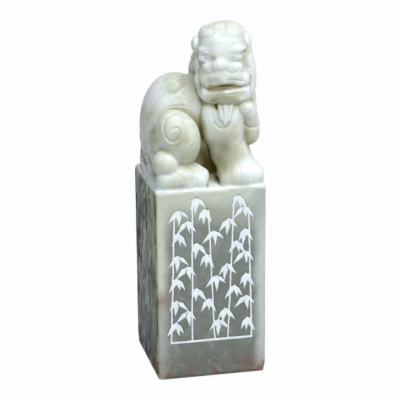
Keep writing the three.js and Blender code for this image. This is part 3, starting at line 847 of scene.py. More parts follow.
# The cheek manes
# Locks of the mane beside the face, rolled one under another, each with a spiral cut in its side.
# They are carved on the sides of the head and run down to the jaw.
left_mane = carve(
    "lion_left_cheek_mane", lion_stone,
    [
        head_swell(-6.9, 0.6, -0.4, (1.2, 2.6, 2.6)),
        head_swell(-6.9, 1.4, -4.6, (1.2, 2.8, 2.5)),
        head_swell(-6.1, 1.8, -7.6, (1.1, 2.4, 1.8)),
    ],
    fillet=0.7, seat=0.5,
    lines=[
        (LEFT, [(curl((3.8, 84 - 3.9 * i), 1.5, 60, 1.2), 0.35, 0.3) for i in range(3)]),
        (front_view, [
            ([(194.5, 56), (193.8, 64), (194.6, 72), (196.5, 79)], 0.3, 0.25),
            ([(197.6, 62), (197.2, 69), (198.4, 76), (200.6, 82)], 0.25, 0.16),
            ([(201, 82), (203.5, 85), (202, 89)], 0.25, 0.2),
            ([(196, 84), (198.5, 89), (202.5, 94)], 0.3, 0.22),
        ]),
    ],
)
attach(left_mane, "root")
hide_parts("left_cheek_mane")

right_mane = carve(
    "lion_right_cheek_mane", lion_stone,
    [
        head_swell(6.2, 1.4, 1.0, (1.3, 2.7, 2.0)),
        head_swell(6.7, 1.2, -2.2, (1.3, 2.9, 2.0)),
        head_swell(6.8, 1.2, -5.3, (1.25, 2.9, 1.8)),
        head_swell(6.3, 1.5, -8.0, (1.2, 2.6, 1.6)),
    ],
    fillet=2.6, seat=1.8,
    lines=[
        (RIGHT, [(curl((-7.6, 85.4 - 3.2 * i), 1.5, 120, 1.2, -1), 0.35, 0.3) for i in range(4)]),
        (front_view, [
            ([(247, 66 + 8 * i), (250.5, 68 + 8 * i), (252, 72 + 8 * i)], 0.25, 0.2) for i in range(3)
        ]),
    ],
)
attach(right_mane, "root")
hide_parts("right_cheek_mane")

# Polishing
# The lion now stands as one form. It runs out onto the ledge at its feet, stays inside the block it
# is carved from, and its skin is rubbed smooth, cut with the knife lines, and shared out among the
# portions, each closed behind where it meets the next.
BLOCK_FILLET = 0.7
LEDGE_FILLET = 1.0
LEDGE_ROOM = 0.15
CUT_FADE = 0.3
PORTION_REACH = 1.2
SEEN_ABOVE = COLUMN_TOP - 0.5


def along_axes(lines):
    """Lines of places laid out so that they span a lattice together"""
    return [line.reshape([-1 if axis == i else 1 for i in range(3)]) for axis, line in enumerate(lines)]


x, y, z = along_axes([line.astype(np.float32) for line in lattice])
inside_block = HALF_WIDTH - np.maximum(np.abs(x), np.abs(y)) + 0 * z
lion_alone = -flowing(-figure, inside_block, BLOCK_FILLET)
figure = flowing(figure, z - (COLUMN_TOP - LEDGE_ROOM) + 0 * x + 0 * y, LEDGE_FILLET)
figure = -flowing(-figure, inside_block, BLOCK_FILLET)
figure = np.minimum(figure, FAR).astype(np.float32)
closest = np.full(lattice_shape, FAR, np.float32)
second = closest.copy()
for _, own, _, _ in portions.values():
    second = np.minimum(second, np.maximum(closest, own))
    closest = np.minimum(closest, own)


def skin(field, first, shape):
    """The closed skin of a form, counted in cells: one spot in each cell that the surface crosses,
    and quads between. First is where the field starts on a lattice of this shape"""
    shell = tuple(count + 2 for count in shape)
    field = np.pad(field, 1, constant_values=FAR)
    inside = field < 0
    cells_in, spots_in, quads_in = [], [], []
    for axis in range(3):
        here = tuple(slice(0, -1) if i == axis else slice(None) for i in range(3))
        there = tuple(slice(1, None) if i == axis else slice(None) for i in range(3))
        edges = np.argwhere(inside[here] != inside[there])
        low = field[here][tuple(edges.T)].astype(float)
        high = field[there][tuple(edges.T)].astype(float)
        crossing = edges.astype(float)
        crossing[:, axis] += low / (low - high)
        across, up = (axis + 1) % 3, (axis + 2) % 3
        ring = []
        for step_across, step_up in ((0, 0), (-1, 0), (-1, -1), (0, -1)):
            cell = edges.copy()
            cell[:, across] += step_across
            cell[:, up] += step_up
            ring.append(np.ravel_multi_index((cell + first).T, shell))
        ring = np.stack(ring, 1)
        quads_in.append(np.where((low > 0)[:, None], ring[:, ::-1], ring))
        cells_in.append(ring.ravel())
        spots_in.append(np.repeat(crossing[:, None, :], 4, 1).reshape(-1, 3))
    cells, number = np.unique(np.concatenate(cells_in), return_inverse=True)
    crossings = np.concatenate(spots_in)
    count = np.bincount(number)
    spots = np.stack([np.bincount(number, crossings[:, i]) / count for i in range(3)], 1)
    quads = np.searchsorted(cells, np.concatenate(quads_in))
    return spots - 1 + first, quads, cells


def rubbed_smooth(spots, quads, rounds, free=None):
    """Spots drawn towards their neighbours, as polishing does"""
    start = np.concatenate([quads[:, i] for i in range(4)])
    end = np.concatenate([quads[:, (i + 1) % 4] for i in range(4)])
    total = len(spots)
    count = np.bincount(start, minlength=total) + np.bincount(end, minlength=total)
    for _ in range(rounds):
        drawn = np.stack(
            [
                np.bincount(start, spots[end, i], total) + np.bincount(end, spots[start, i], total)
                for i in range(3)
            ],
            1,
        )
        moved = (spots + drawn / count[:, None]) / 2
        spots = moved if free is None else np.where(free[:, None], moved, spots)
    return spots


def outward_at(spots, quads):
    """The outward direction at each spot"""
    cross = np.cross(spots[quads[:, 2]] - spots[quads[:, 0]], spots[quads[:, 3]] - spots[quads[:, 1]])
    total = np.zeros_like(spots)
    for i in range(3):
        for corner in range(4):
            total[:, i] += np.bincount(quads[:, corner], cross[:, i], len(spots))
    return total / np.maximum(np.linalg.norm(total, axis=1), 1e-12)[:, None]


def cell_corners(share):
    """The eight corners of a cell, each with how much it counts at a place in the cell"""
    for i in (0, 1):
        for j in (0, 1):
            for k in (0, 1):
                yield (i, j, k), (
                    (share[:, 0] if i else 1 - share[:, 0])
                    * (share[:, 1] if j else 1 - share[:, 1])
                    * (share[:, 2] if k else 1 - share[:, 2])
                )


def read(field, spots):
    """A field of the lattice, read at any spot"""
    free = (spots - lattice_corner) / CELL
    at = np.clip(free, 0, np.array(field.shape) - 1.001)
    base = at.astype(int)
    found = 0
    for corner, weight in cell_corners(at - base):
        found = found + weight * field[tuple((base + corner).T)]
    return found + CELL * np.linalg.norm(free - at, axis=1)


def shelter(spots, outward):
    """How deep in a fold a spot lies, from 0 in the open to 1, which sets the painted shade of the folds
    """
    total = 0
    for reach, share in ((0.5, 0.2), (1.1, 0.3), (2.4, 0.5)):
        total = total + share * np.clip(1 - read(lion_alone, spots + outward * reach) / reach, 0, 1)
    return total


def thinness(spots, outward):
    """How near the far side of the stone is, from 0 where it is solid to 1 at a thin edge, which sets the
    painted glow of light through the stone
    """
    return np.clip(1 + read(lion_alone, spots - outward * 3) / 3, 0, 1)


def near_box(places, a, b, margin):
    """Which places on a view lie within a margin of the box between two corners"""
    low, high = np.minimum(a, b) - margin, np.maximum(a, b) + margin
    return np.nonzero((places > low).all(1) & (places < high).all(1))[0]


def from_line(places, a, b):
    """How far places on a view lie from the line between two ends"""
    off = places - a
    share = np.clip(off @ (b - a) / max((b - a) @ (b - a), 1e-9), 0, 1)
    return np.linalg.norm(off - share[:, None] * (b - a), axis=1)


def knife_lines(spots, outward, seen, lines):
    """How far each spot is cut by lines drawn on a view. A line is its corners, a width and a depth
    in millimetres, and a ridge where the depth is below zero"""
    places, scale, toward = seen(spots)
    square_on = np.clip((np.einsum("ij,ij->i", outward, toward) - 0.1) * 4, 0, 1)
    cut = np.zeros(len(spots))
    for corners, width, depth in lines:
        corners = np.array(corners, float)
        gap = np.full(len(spots), 1e9)
        near = near_box(places, corners.min(0), corners.max(0), 3 * width * scale.max())
        for a, b in zip(corners[:-1], corners[1:]):
            gap[near] = np.minimum(gap[near], from_line(places[near], a, b))
        reach = gap[near] / scale[near] / width
        profile = depth * np.exp(-2.2 * reach * reach) * square_on[near]
        stronger = np.abs(profile) > np.abs(cut[near])
        cut[near] = np.where(stronger, profile, cut[near])
    return cut


def fill_mesh(mesh, spots, quads, normals):
    """Puts spots in millimetres and quads into a mesh, shaded by the outward directions given"""
    mesh.vertices.add(len(spots))
    mesh.vertices.foreach_set("co", (spots * 0.001).astype(np.float32).ravel())
    mesh.loops.add(quads.size)
    mesh.loops.foreach_set("vertex_index", quads.astype(np.int32).ravel())
    mesh.polygons.add(len(quads))
    mesh.polygons.foreach_set("loop_start", np.arange(0, quads.size, 4, dtype=np.int32))
    mesh.polygons.foreach_set("loop_total", np.full(len(quads), 4, np.int32))
    mesh.update(calc_edges=True)
    mesh.validate()
    mesh.shade_smooth()
    mesh.normals_split_custom_set_from_vertices(normals.tolist())


def mark(mesh, name, values):
    """Keeps a value at each spot of a mesh, for the shader"""
    mesh.attributes.new(name, "FLOAT", "POINT").data.foreach_set("value", values.astype(np.float32))


lion_spots, lion_quads, lion_cells = skin(figure, np.zeros(3, int), lattice_shape)
lion_spots = rubbed_smooth(lion_spots * CELL + lattice_corner, lion_quads, 2)
outward = outward_at(lion_spots, lion_quads)
# Painted shade for the folds, by how sheltered each spot is, kept at each spot for the shader
painted_fold_shade = shelter(lion_spots, outward)
# Painted light: a glow where the far side of the stone is near
painted_glow = thinness(lion_spots, outward)
cut = np.zeros(len(lion_spots))
stain_and_shade = np.zeros(len(lion_spots))
for _, own, lines, stains_shades_and_lights in portions.values():
    here = np.clip(1.5 - (read(own, lion_spots) - read(closest, lion_spots)) / CUT_FADE, 0, 1)
    for seen, drawn in lines:
        cut += here * knife_lines(lion_spots, outward, seen, drawn)
    # Above zero a mark lays stains and painted shade; below zero it lays painted light as a pale patch
    for place, radius, strength in stains_shades_and_lights:
        gap = np.linalg.norm(lion_spots - place, axis=1) / radius
        patch = here * abs(strength) * np.exp(-1.6 * gap * gap)
        if strength > 0:
            stain_and_shade = stain_and_shade + (1 - stain_and_shade) * patch
        else:
            painted_glow = np.maximum(painted_glow, patch)
lion_spots = lion_spots - outward * cut[:, None]
# Painted shade: the knife cuts are darkened in the colour, as well as cut in
painted_fold_shade = np.clip(painted_fold_shade + 0.8 * np.clip(cut, 0, None), 0, 1)
outward = outward_at(lion_spots, lion_quads)
for piece, own, _, _ in portions.values():
    own = own.astype(np.float32)
    near = own < PORTION_REACH + 0.2
    hits = [np.nonzero(near.any(tuple(j for j in range(3) if j != i)))[0] for i in range(3)]
    box = tuple(slice(max(0, found[0] - 1), found[-1] + 2) for found in hits)
    rest = np.where(own[box] <= closest[box] + 1e-3, second[box], closest[box])
    part = np.maximum(figure[box], (own[box] - rest) / 2)
    part = np.maximum(part, own[box] - PORTION_REACH)
    part = np.maximum(part, (COLUMN_TOP - BELOW_LEDGE + 1.6 * CELL) - z[:, :, box[2]])
    spots, quads, cells = skin(part, np.array([span.start for span in box]), lattice_shape)
    spots = spots * CELL + lattice_corner
    at = np.clip(np.searchsorted(lion_cells, cells), 0, len(lion_cells) - 1)
    shown = (lion_cells[at] == cells) & (spots[:, 2] > SEEN_ABOVE)
    spots = np.where(shown[:, None], lion_spots[at], spots)
    spots = rubbed_smooth(spots, quads, 2, ~shown)
    normals = np.where(shown[:, None], outward[at], outward_at(spots, quads))
    fill_mesh(piece.data, spots, quads, normals)
    for name, values in (("painted_fold_shade", painted_fold_shade), ("stain_and_shade", stain_and_shade), ("painted_glow", painted_glow)):
        mark(piece.data, name, np.where(shown, values[at], 0))

# The column
# The block itself, square in section, with its edges rubbed round, small chips at the foot and the
# front cut with the knife to take the white. Its front is painted darker and greyer towards the foot
# as shade, with brown stains.
EDGE = 0.9
SLAB_TOP = 3.0
PANEL = 13.3
PANEL_FOOT = 9.9
PANEL_HEAD = 50.6
FINE_STEP = 0.13
EDGE_STEP = 0.35
PLAIN_STEP = 0.55
ROUND_STEPS = 7
CUT_DEPTH = 0.42
LEDGE_DROP = 0.07


def stops(*spans):
    """Places along a line, each span with its own step"""
    line = []
    for start, end, step in spans:
        count = max(1, int(round(abs(end - start) / step)))
        line.extend(start + (end - start) * i / count for i in range(count))
    return line


def block_outline():
    """Once round the block: places and outward directions, the front first"""
    reach = HALF_WIDTH - EDGE
    fine = stops((-reach, -PANEL, EDGE_STEP), (-PANEL, PANEL, FINE_STEP), (PANEL, reach, EDGE_STEP))
    plain = stops((-reach, reach, PLAIN_STEP))
    turn = [math.radians(90 * i / ROUND_STEPS) for i in range(ROUND_STEPS)]
    outline = []
    for side, along in enumerate((fine, plain, plain, plain)):
        c, s = [(1, 0), (0, 1), (-1, 0), (0, -1)][side]
        for t in along:
            outline.append((t * c + HALF_WIDTH * s, t * s - HALF_WIDTH * c, s, -c))
        for angle in turn:
            dx, dy = math.sin(angle), -math.cos(angle)
            px, py = reach + EDGE * dx, -reach + EDGE * dy
            outline.append((px * c - py * s, px * s + py * c, dx * c - dy * s, dx * s + dy * c))
    return np.array(outline)


LUMP_GRID = (24, 24, 40)
lumps = np.random.default_rng(7).random(LUMP_GRID)


def unevenness(spots, size):
    """Smooth random unevenness from -1 to 1"""
    at = spots / size + 7.3
    base = np.floor(at).astype(int)
    share = at - base
    found = 0
    for corner, weight in cell_corners(share * share * (3 - 2 * share)):
        found = found + weight * lumps[tuple(((base + corner) % LUMP_GRID).T)]
    return 2 * found - 1


STALKS = 5
LEVELS = 6
LEAF = 5.0
LEAF_WIDEST = 0.35
STALK_HALF = 0.25
GROUND_HALF = 0.35
TWIG_HALF = 0.175
LEAF_HALF = 0.74
BAMBOO_FOOT = 10.5
BAMBOO_HEAD = 50.0
BAMBOO_WIDTH = 26.4


def bamboo():
    """The strokes of the bamboo: bars as two ends and a half width, leaves as root, tip and half
    width"""
    bars, leaves = [], []
    gap = BAMBOO_WIDTH / STALKS
    level = (BAMBOO_HEAD - BAMBOO_FOOT - LEAF) / (LEVELS - 0.5)
    last_foot = None
    for s in range(STALKS):
        middle = (s + 0.5) * gap - BAMBOO_WIDTH / 2
        lean = 0.9 * math.sin(2.3 * s + 0.7)
        offset = level * (s % 2) / 2
        foot = np.array([middle - lean, BAMBOO_FOOT])
        tip = np.array([middle + lean, BAMBOO_HEAD - level / 2 + offset])
        bars.append((foot, tip, STALK_HALF))
        if last_foot is not None:
            bars.append((last_foot, foot, GROUND_HALF))
        last_foot = foot
        for k in range(LEVELS):
            knot = foot + (tip - foot) * (LEAF + k * level + offset) / (tip[1] - foot[1])
            outermost = s in (0, STALKS - 1)
            side = -math.copysign(1, middle) if outermost else (-1) ** (k + s)
            end = knot + np.array([side * 1.3, 0.6])
            bars.append((knot, end, TWIG_HALF))
            for leaf, angle in enumerate((-125, -88, -52)):
                swing = 10 * math.sin(5.1 * s + 3.3 * k + 1.9 * leaf)
                share = 0.88 + 0.12 * math.cos(2.7 * k + 4.4 * leaf + s)
                heading = math.radians(angle + swing)
                along = np.array([math.cos(heading), math.sin(heading)])
                leaves.append((end, end + along * share * LEAF, share * LEAF_HALF))
    return bars, leaves


def stroke_distance(x, z):
    """How far places on the front lie from the bamboo's strokes, below zero inside them"""
    places = np.stack([x, z], 1)
    spots = np.stack([x, 0 * x, z], 1)
    wander = np.stack([unevenness(spots, 1.7), unevenness(spots + 40, 1.7)], 1)
    places = places + 0.09 * wander
    found = np.full(len(x), 9.0)
    bars, leaves = bamboo()
    for a, b, half in bars:
        near = near_box(places, a, b, 1.2)
        found[near] = np.minimum(found[near], from_line(places[near], a, b) - half)
    for root, tip, half in leaves:
        near = near_box(places, root, tip, 1.5)
        off = places[near] - root
        axis = tip - root
        length = np.linalg.norm(axis)
        along = off @ axis / length
        aside = np.abs(off[:, 0] * axis[1] - off[:, 1] * axis[0]) / length
        share = along / length
        taper = np.where(share < LEAF_WIDEST, LEAF_WIDEST, 1 - LEAF_WIDEST)
        wide = half * np.where(share < LEAF_WIDEST, share, 1 - share) / taper
        slant = half / (taper * length)
        gap = (aside - wide) / np.sqrt(1 + slant * slant)
        found[near] = np.minimum(found[near], np.where((share < -0.06) | (share > 1.06), 9, gap))
    return found + 0.03 * unevenness(spots, 0.8)


# Chips and dents on the block: place, radius and depth
CHIPS = [
    ((-15, -15, 0.2), 2.2, 0.9), ((-12.4, -15, 0), 1.4, 0.5), ((15, -15, 0.3), 1.8, 0.8),
    ((-15, -15, 22.5), 1.0, 0.25), ((-15, -15, 38), 1.3, 0.2), ((15, -15, 31), 1.2, 0.25),
    ((15, 15, 0), 2.0, 0.7), ((-15, 15, 1), 1.6, 0.6), ((-15, 15, 53), 1.8, 0.5),
    ((15, 15, 52.5), 1.6, 0.5), ((6, -15, 0), 1.1, 0.3), ((-15, 4, 0), 1.3, 0.4),
    ((-15, -3, 52.9), 1.4, 0.3),
]


def worn(spots):
    """How far the sides of the block are rubbed in at each spot"""
    rubbed = 0.05 * (unevenness(spots, 7.0) + 1) + 0.02 * (unevenness(spots, 1.9) + 1)
    flat_front = (spots[:, 1] < -HALF_WIDTH + 0.2) & (np.abs(spots[:, 0]) < 14)
    rubbed = np.where(flat_front, rubbed * 0.35, rubbed)
    for place, radius, depth in CHIPS:
        gap = np.linalg.norm(spots - np.array(place), axis=1) / radius
        rubbed = rubbed + depth * np.exp(-2.5 * gap * gap)
    return rubbed


def block_sides(heights, insets):
    """Rings of the block's skin at these heights, each drawn in by its inset"""
    outline = block_outline()
    rings = []
    for height, inset in zip(heights, insets):
        ring = np.stack([outline[:, 0], outline[:, 1], np.full(len(outline), height)], 1)
        outward = np.stack([outline[:, 2], outline[:, 3], np.zeros(len(outline))], 1)
        rings.append(ring - outward * (inset + worn(ring))[:, None])
    return np.array(rings)


def ring_quads(count, around):
    """Quads between rings laid one above another"""
    lower = np.arange(count - 1)[:, None] * around + np.arange(around)
    after = np.arange(count - 1)[:, None] * around + (np.arange(around) + 1) % around
    return np.stack([lower, after, after + around, lower + around], -1).reshape(-1, 4)


def cap(ring, start, flip, surface):
    """Closes a ring with rings that draw in to the middle. Returns spots, quads and the triangles
    round the middle"""
    around = len(ring)
    middle = ring.mean(0)
    shares = [0.97, 0.92, 0.85, 0.77, 0.68, 0.58, 0.47, 0.36, 0.24, 0.12]
    spots = np.concatenate([middle + (ring - middle) * share for share in shares])
    spots[:, 2] = surface(spots)
    centre = spots[-around:].mean(0)[None]
    quads = ring_quads(len(shares) + 1, around) + start
    last = start + len(shares) * around
    turn = np.arange(around)
    fan = np.stack([last + turn, last + (turn + 1) % around, np.full(around, last + around)], 1)
    if flip:
        quads, fan = quads[:, ::-1], fan[:, ::-1]
    return np.concatenate([spots, centre]), quads, fan


heights = stops(
    (SLAB_TOP, PANEL_FOOT, 0.4), (PANEL_FOOT, PANEL_HEAD, FINE_STEP), (PANEL_HEAD, COLUMN_TOP - EDGE, 0.3),
)
rounding = [
    (COLUMN_TOP - EDGE + EDGE * math.sin(a), EDGE * (1 - math.cos(a)))
    for a in np.linspace(0.0, 1.45, ROUND_STEPS)
]
insets = [0.0] * len(heights) + [inset for _, inset in rounding]
heights = heights + [height for height, _ in rounding]
rings = block_sides(heights, insets)
around = rings.shape[1]
spots = rings.reshape(-1, 3)
on_front = np.nonzero((spots[:, 1] < -HALF_WIDTH + 0.3) & (np.abs(spots[:, 0]) < PANEL))[0]
gap = stroke_distance(spots[on_front, 0], spots[on_front, 2])
groove = CUT_DEPTH * np.clip((0.06 - gap) / 0.1, 0, 1)
spots[on_front, 1] += groove


def ledge(places):
    """The top of the column, cut level by hand round the lion's feet"""
    return COLUMN_TOP - LEDGE_DROP + 0.05 * unevenness(places, 2.6)


top_spots, top_quads, top_fan = cap(rings[-1], (len(heights) - 1) * around, False, ledge)
column_spots = np.concatenate([spots, top_spots])
bottom_start = len(column_spots)
low_spots, low_quads, low_fan = cap(rings[0], 0, True, lambda places: np.full(len(places), SLAB_TOP))
shift = bottom_start - around
low_quads = np.where(low_quads >= around, low_quads + shift, low_quads)
low_fan = np.where(low_fan >= around, low_fan + shift, low_fan)
column_spots = np.concatenate([column_spots, low_spots])
column_quads = np.concatenate([ring_quads(len(heights), around), top_quads, low_quads])
column_fans = np.concatenate([top_fan, low_fan])
# Brown stains on the block: place, radius and strength
RUST = [
    ((-15, -14.8, 22.2), 1.8, 0.7), ((-13.0, -15, 23.0), 2.6, 0.45), ((-15, -15, 19.6), 1.2, 0.4),
    ((10.5, -15, 2.8), 3.6, 0.4), ((14, -15, 1.4), 2.6, 0.5), ((-6, -15, 2.4), 3.0, 0.3),
]


def rusted(spots):
    """How strongly each spot is stained brown"""
    found = np.zeros(len(spots))
    for place, radius, strength in RUST:
        near = np.linalg.norm(spots - np.array(place), axis=1) / radius
        found = np.maximum(found, strength * np.exp(-1.6 * near * near))
    return found


outward = outward_at(column_spots, column_quads)
# Painted shade where the ledge meets the lion and along the grooves of the bamboo
painted_fold_shade = np.where(column_spots[:, 2] > COLUMN_TOP - 0.4, shelter(column_spots, outward), 0)
painted_fold_shade[on_front] = np.maximum(painted_fold_shade[on_front], 0.1 * groove / CUT_DEPTH)


def column_stone(name):
    """The block's stone. The front is grey green, painted lighter where light comes through its edges,
    pale under the ledge, painted darker towards the foot as shade and stained brown there; the left side
    is dark, olive by the front edge and clouded blue grey behind, with painted shade darker towards its
    foot, and painted shade in the creases at the ledge and along the grooves"""
    material, tree, body, place = polished_stone(name, 0.1)
    parts = tree.nodes.new("ShaderNodeSeparateXYZ")
    tree.links.new(place, parts.inputs[0])

    def drifting(source, amount, scale, low, high):
        """A place along one axis, blurred by clouds and spread from 0 to 1"""
        drift = add_node(tree, "ShaderNodeMath", operation="MULTIPLY_ADD")
        tree.links.new(cloud(tree, place, scale, 5, 0.6, 0.8), drift.inputs[0])
        drift.inputs[1].default_value = amount
        tree.links.new(source, drift.inputs[2])
        spread = add_node(tree, "ShaderNodeMapRange", **{"From Min": low, "From Max": high})
        tree.links.new(drift.outputs[0], spread.inputs[0])
        return spread.outputs[0]

    # Painted shade: the front is coloured darker towards the foot, as light from above falls off there;
    # its top band is pale stone under the ledge
    height = drifting(parts.outputs[2], 0.012, 60, 0.006, 0.059)
    front = ramp(
        tree, height,
        [
            (0.0, (0.15, 0.155, 0.135)), (0.2, (0.18, 0.195, 0.175)), (0.45, (0.18, 0.195, 0.18)),
            (0.75, (0.22, 0.24, 0.215)), (0.86, (0.38, 0.40, 0.34)), (0.97, (0.62, 0.65, 0.57)),
        ],
    )
    haze = ramp(tree, cloud(tree, place, 230, 6, 0.62, 0.9), [(0.42, 0.0), (0.72, 0.35)])
    front = blend_colour(tree, haze, front, (0.40, 0.44, 0.43))
    green = ramp(tree, cloud(tree, place, 190, 6, 0.66, 1.3), [(0.5, 0.0), (0.66, 0.5)])
    low = ramp(tree, height, [(0.12, 1.0), (0.34, 0.0)])
    green = blend_colour(tree, low, NOTHING, green)
    front = blend_colour(tree, green, front, (0.08, 0.12, 0.11))
    aside = add_node(tree, "ShaderNodeMath", operation="MINIMUM")
    for i in (0, 1):
        part = add_node(tree, "ShaderNodeMath", operation="ABSOLUTE")
        tree.links.new(parts.outputs[i], part.inputs[0])
        tree.links.new(part.outputs[0], aside.inputs[i])
    # Painted light: the front is coloured lighter along its upright edges, as if light came through them
    rim = drifting(aside.outputs[0], 0.0028, 160, 0.0122, 0.0162)
    lit = ramp(tree, rim, [(0.0, 0.0), (0.75, 1.0)])
    upper = ramp(tree, height, [(0.02, 0.8), (0.3, 1.0)])
    lit = blend_colour(tree, upper, NOTHING, lit)
    rightward = add_node(tree, "ShaderNodeMapRange", **{"From Min": -0.013, "From Max": 0.013})
    tree.links.new(parts.outputs[0], rightward.inputs[0])
    left_edge = ramp(tree, height, [(0.42, (0.42, 0.45, 0.40)), (0.52, (0.62, 0.65, 0.57))])
    right_edge = ramp(
        tree, height, [(0.3, (0.53, 0.58, 0.56)), (0.7, (0.57, 0.62, 0.63)), (0.9, (0.46, 0.50, 0.52))]
    )
    edge_colour = blend_colour(tree, rightward.outputs[0], left_edge, right_edge)
    front = blend_colour(tree, lit, front, edge_colour)
    slant = add_node(tree, "ShaderNodeVectorMath", operation="DOT_PRODUCT")
    slant.inputs[1].default_value = (-0.5, 0.0, 0.87)
    tree.links.new(place, slant.inputs[0])
    corner = drifting(slant.outputs["Value"], 0.004, 120, 0.045, 0.053)
    corner = ramp(tree, corner, [(0.0, 0.0), (1.0, 0.8)])
    front = blend_colour(tree, corner, front, (0.58, 0.60, 0.50))
    drawn_up = add_node(tree, "ShaderNodeMapping")
    drawn_up.inputs["Scale"].default_value = (1.0, 1.0, 0.42)
    tree.links.new(place, drawn_up.inputs["Vector"])
    drawn_up = drawn_up.outputs[0]
    veins = ramp(tree, cloud(tree, drawn_up, 110, 5, 0.6, 1.4), [(0.40, 0.0), (0.58, 1.0)])
    mottled = blend_colour(tree, veins, (0.11, 0.14, 0.135), (0.37, 0.41, 0.41))
    streaks = ramp(tree, cloud(tree, drawn_up, 260, 5, 0.65, 2.2), [(0.50, 0.0), (0.60, 0.9)])
    mottled = blend_colour(tree, streaks, mottled, (0.70, 0.76, 0.79))
    depth = drifting(parts.outputs[1], 0.016, 70, -0.008, 0.006)
    moss = ramp(tree, cloud(tree, drawn_up, 150, 5, 0.65, 1.4), [(0.42, 0.0), (0.58, 1.0)])
    olive = blend_colour(tree, moss, (0.60, 0.58, 0.42), (0.15, 0.20, 0.13))
    left = blend_colour(tree, depth, olive, mottled)
    # Painted shade: the left side is coloured darker towards its foot
    shaded = ramp(
        tree, height, [(0.1, (0.70, 0.72, 0.77)), (0.5, (0.84, 0.84, 0.82)), (0.9, (0.98, 1.0, 0.88))]
    )
    left = blend_colour(tree, 1.0, left, shaded, "MULTIPLY")
    on_left = add_node(tree, "ShaderNodeMapRange", **{"From Min": -0.0144, "From Max": -0.0148})
    tree.links.new(parts.outputs[0], on_left.inputs[0])
    colour = blend_colour(tree, on_left.outputs[0], front, left)
    gleam = blend_colour(tree, on_left.outputs[0], (0.25, 0.25, 0.25), NOTHING)
    tree.links.new(gleam, body.inputs["Specular IOR Level"])
    rust = ramp(tree, cloud(tree, place, 120, 6, 0.72, 0.9), [(0.45, 0.0), (0.6, 0.8)])
    foot = ramp(tree, height, [(0.0, 1.0), (0.15, 0.0)])
    rust = blend_colour(tree, foot, NOTHING, rust)
    colour = blend_colour(tree, rust, colour, (0.17, 0.07, 0.045))
    # On the block this mark holds only the stone's brown stains
    colour = blend_colour(tree, marked(tree, "stain_and_shade"), colour, (0.24, 0.11, 0.09))
    ledge_edge = drifting(parts.outputs[2], 0.002, 200, 0.0526, 0.0540)
    colour = blend_colour(tree, ledge_edge, colour, (0.88, 0.91, 0.87))
    # Painted shade in the creases of the ledge and along the grooves
    crease_shade = ramp(tree, marked(tree, "painted_fold_shade"), [(0.45, 0.0), (0.95, 0.65)])
    colour = blend_colour(tree, crease_shade, colour, (0.20, 0.18, 0.09))
    tree.links.new(colour, body.inputs["Base Color"])
    return material


column_finish = column_stone("column_stone")
column_mesh = bpy.data.meshes.new("stone_column")
column_faces = column_quads.tolist() + column_fans.tolist()
column_mesh.from_pydata((column_spots * 0.001).tolist(), [], column_faces)
column_mesh.validate()
column_mesh.shade_smooth()
column_mesh.set_sharp_from_angle(angle=math.radians(55))
mark(column_mesh, "painted_fold_shade", painted_fold_shade)
mark(column_mesh, "stain_and_shade", rusted(column_spots))
column_mesh.materials.append(column_finish)
column = placed("stone_column", column_mesh)
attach(column, "root")
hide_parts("column")

# The printing face
# The foot of the block. Its underside is cut as a raised border round four square spirals, which
# print when pressed in paste. It is one stone with the column, so its sides run on from it.
RELIEF = 0.8
BORDER_MARGIN = 0.4
BORDER_REACH = HALF_WIDTH - BORDER_MARGIN
BORDER = 1.5
FRET_LINE = 1.1
FRET_SPACE = 1.35
FACE_STEP = 0.15


def fret_lines():
    """The middles and half sizes of the lines of one quarter's spiral"""
    pitch = FRET_LINE + FRET_SPACE
    low = FRET_SPACE / 2 + FRET_LINE / 2
    reach = BORDER_REACH - BORDER
    x0 = y0 = low
    x1 = y1 = reach - FRET_SPACE - FRET_LINE / 2
    corners = [(low, reach), (x0, y0), (x1, y0), (x1, y1)]
    while x1 - x0 > pitch and y1 - y0 > pitch:
        x0, y0 = x0 + pitch, y0 + pitch
        corners.append((x0, y1))
        x1 -= pitch
        corners += [(x0, y0), (x1, y0)]
        y1 -= pitch
        corners.append((x1, y1))
    return [
        ((ax + bx) / 2, (ay + by) / 2, (abs(ax - bx) + FRET_LINE) / 2, (abs(ay - by) + FRET_LINE) / 2)
        for (ax, ay), (bx, by) in zip(corners, corners[1:])
    ]


face_line = np.arange(-HALF_WIDTH - FACE_STEP, HALF_WIDTH + 1.5 * FACE_STEP, FACE_STEP)
rise_line = np.arange(-FACE_STEP, SLAB_TOP + 2 * FACE_STEP, FACE_STEP)
gx, gy = np.meshgrid(np.abs(face_line), np.abs(face_line), indexing="ij")
raised = np.full(gx.shape, 9.0)
for mx, my, hx, hy in fret_lines():
    raised = np.minimum(raised, np.maximum(np.abs(gx - mx) - hx, np.abs(gy - my) - hy))
border = np.maximum(gx, gy)
raised = np.minimum(raised, np.abs(border - (BORDER_REACH - BORDER / 2)) - BORDER / 2)
cx, cy = np.meshgrid(face_line, face_line, indexing="ij")
plan = np.stack([cx.ravel(), cy.ravel(), 0 * cx.ravel()], 1)
raised = raised + 0.05 * unevenness(plan, 1.3).reshape(gx.shape)


def beyond_sides(spots):
    """How far spots lie beyond the worn sides of the block, and which way is out"""
    past = np.maximum(np.abs(spots[:, :2]) - (HALF_WIDTH - EDGE), 0)
    far = np.linalg.norm(past, axis=1)
    out = np.sign(spots[:, :2]) * past / np.maximum(far, 1e-9)[:, None]
    return far - EDGE + worn(spots), out


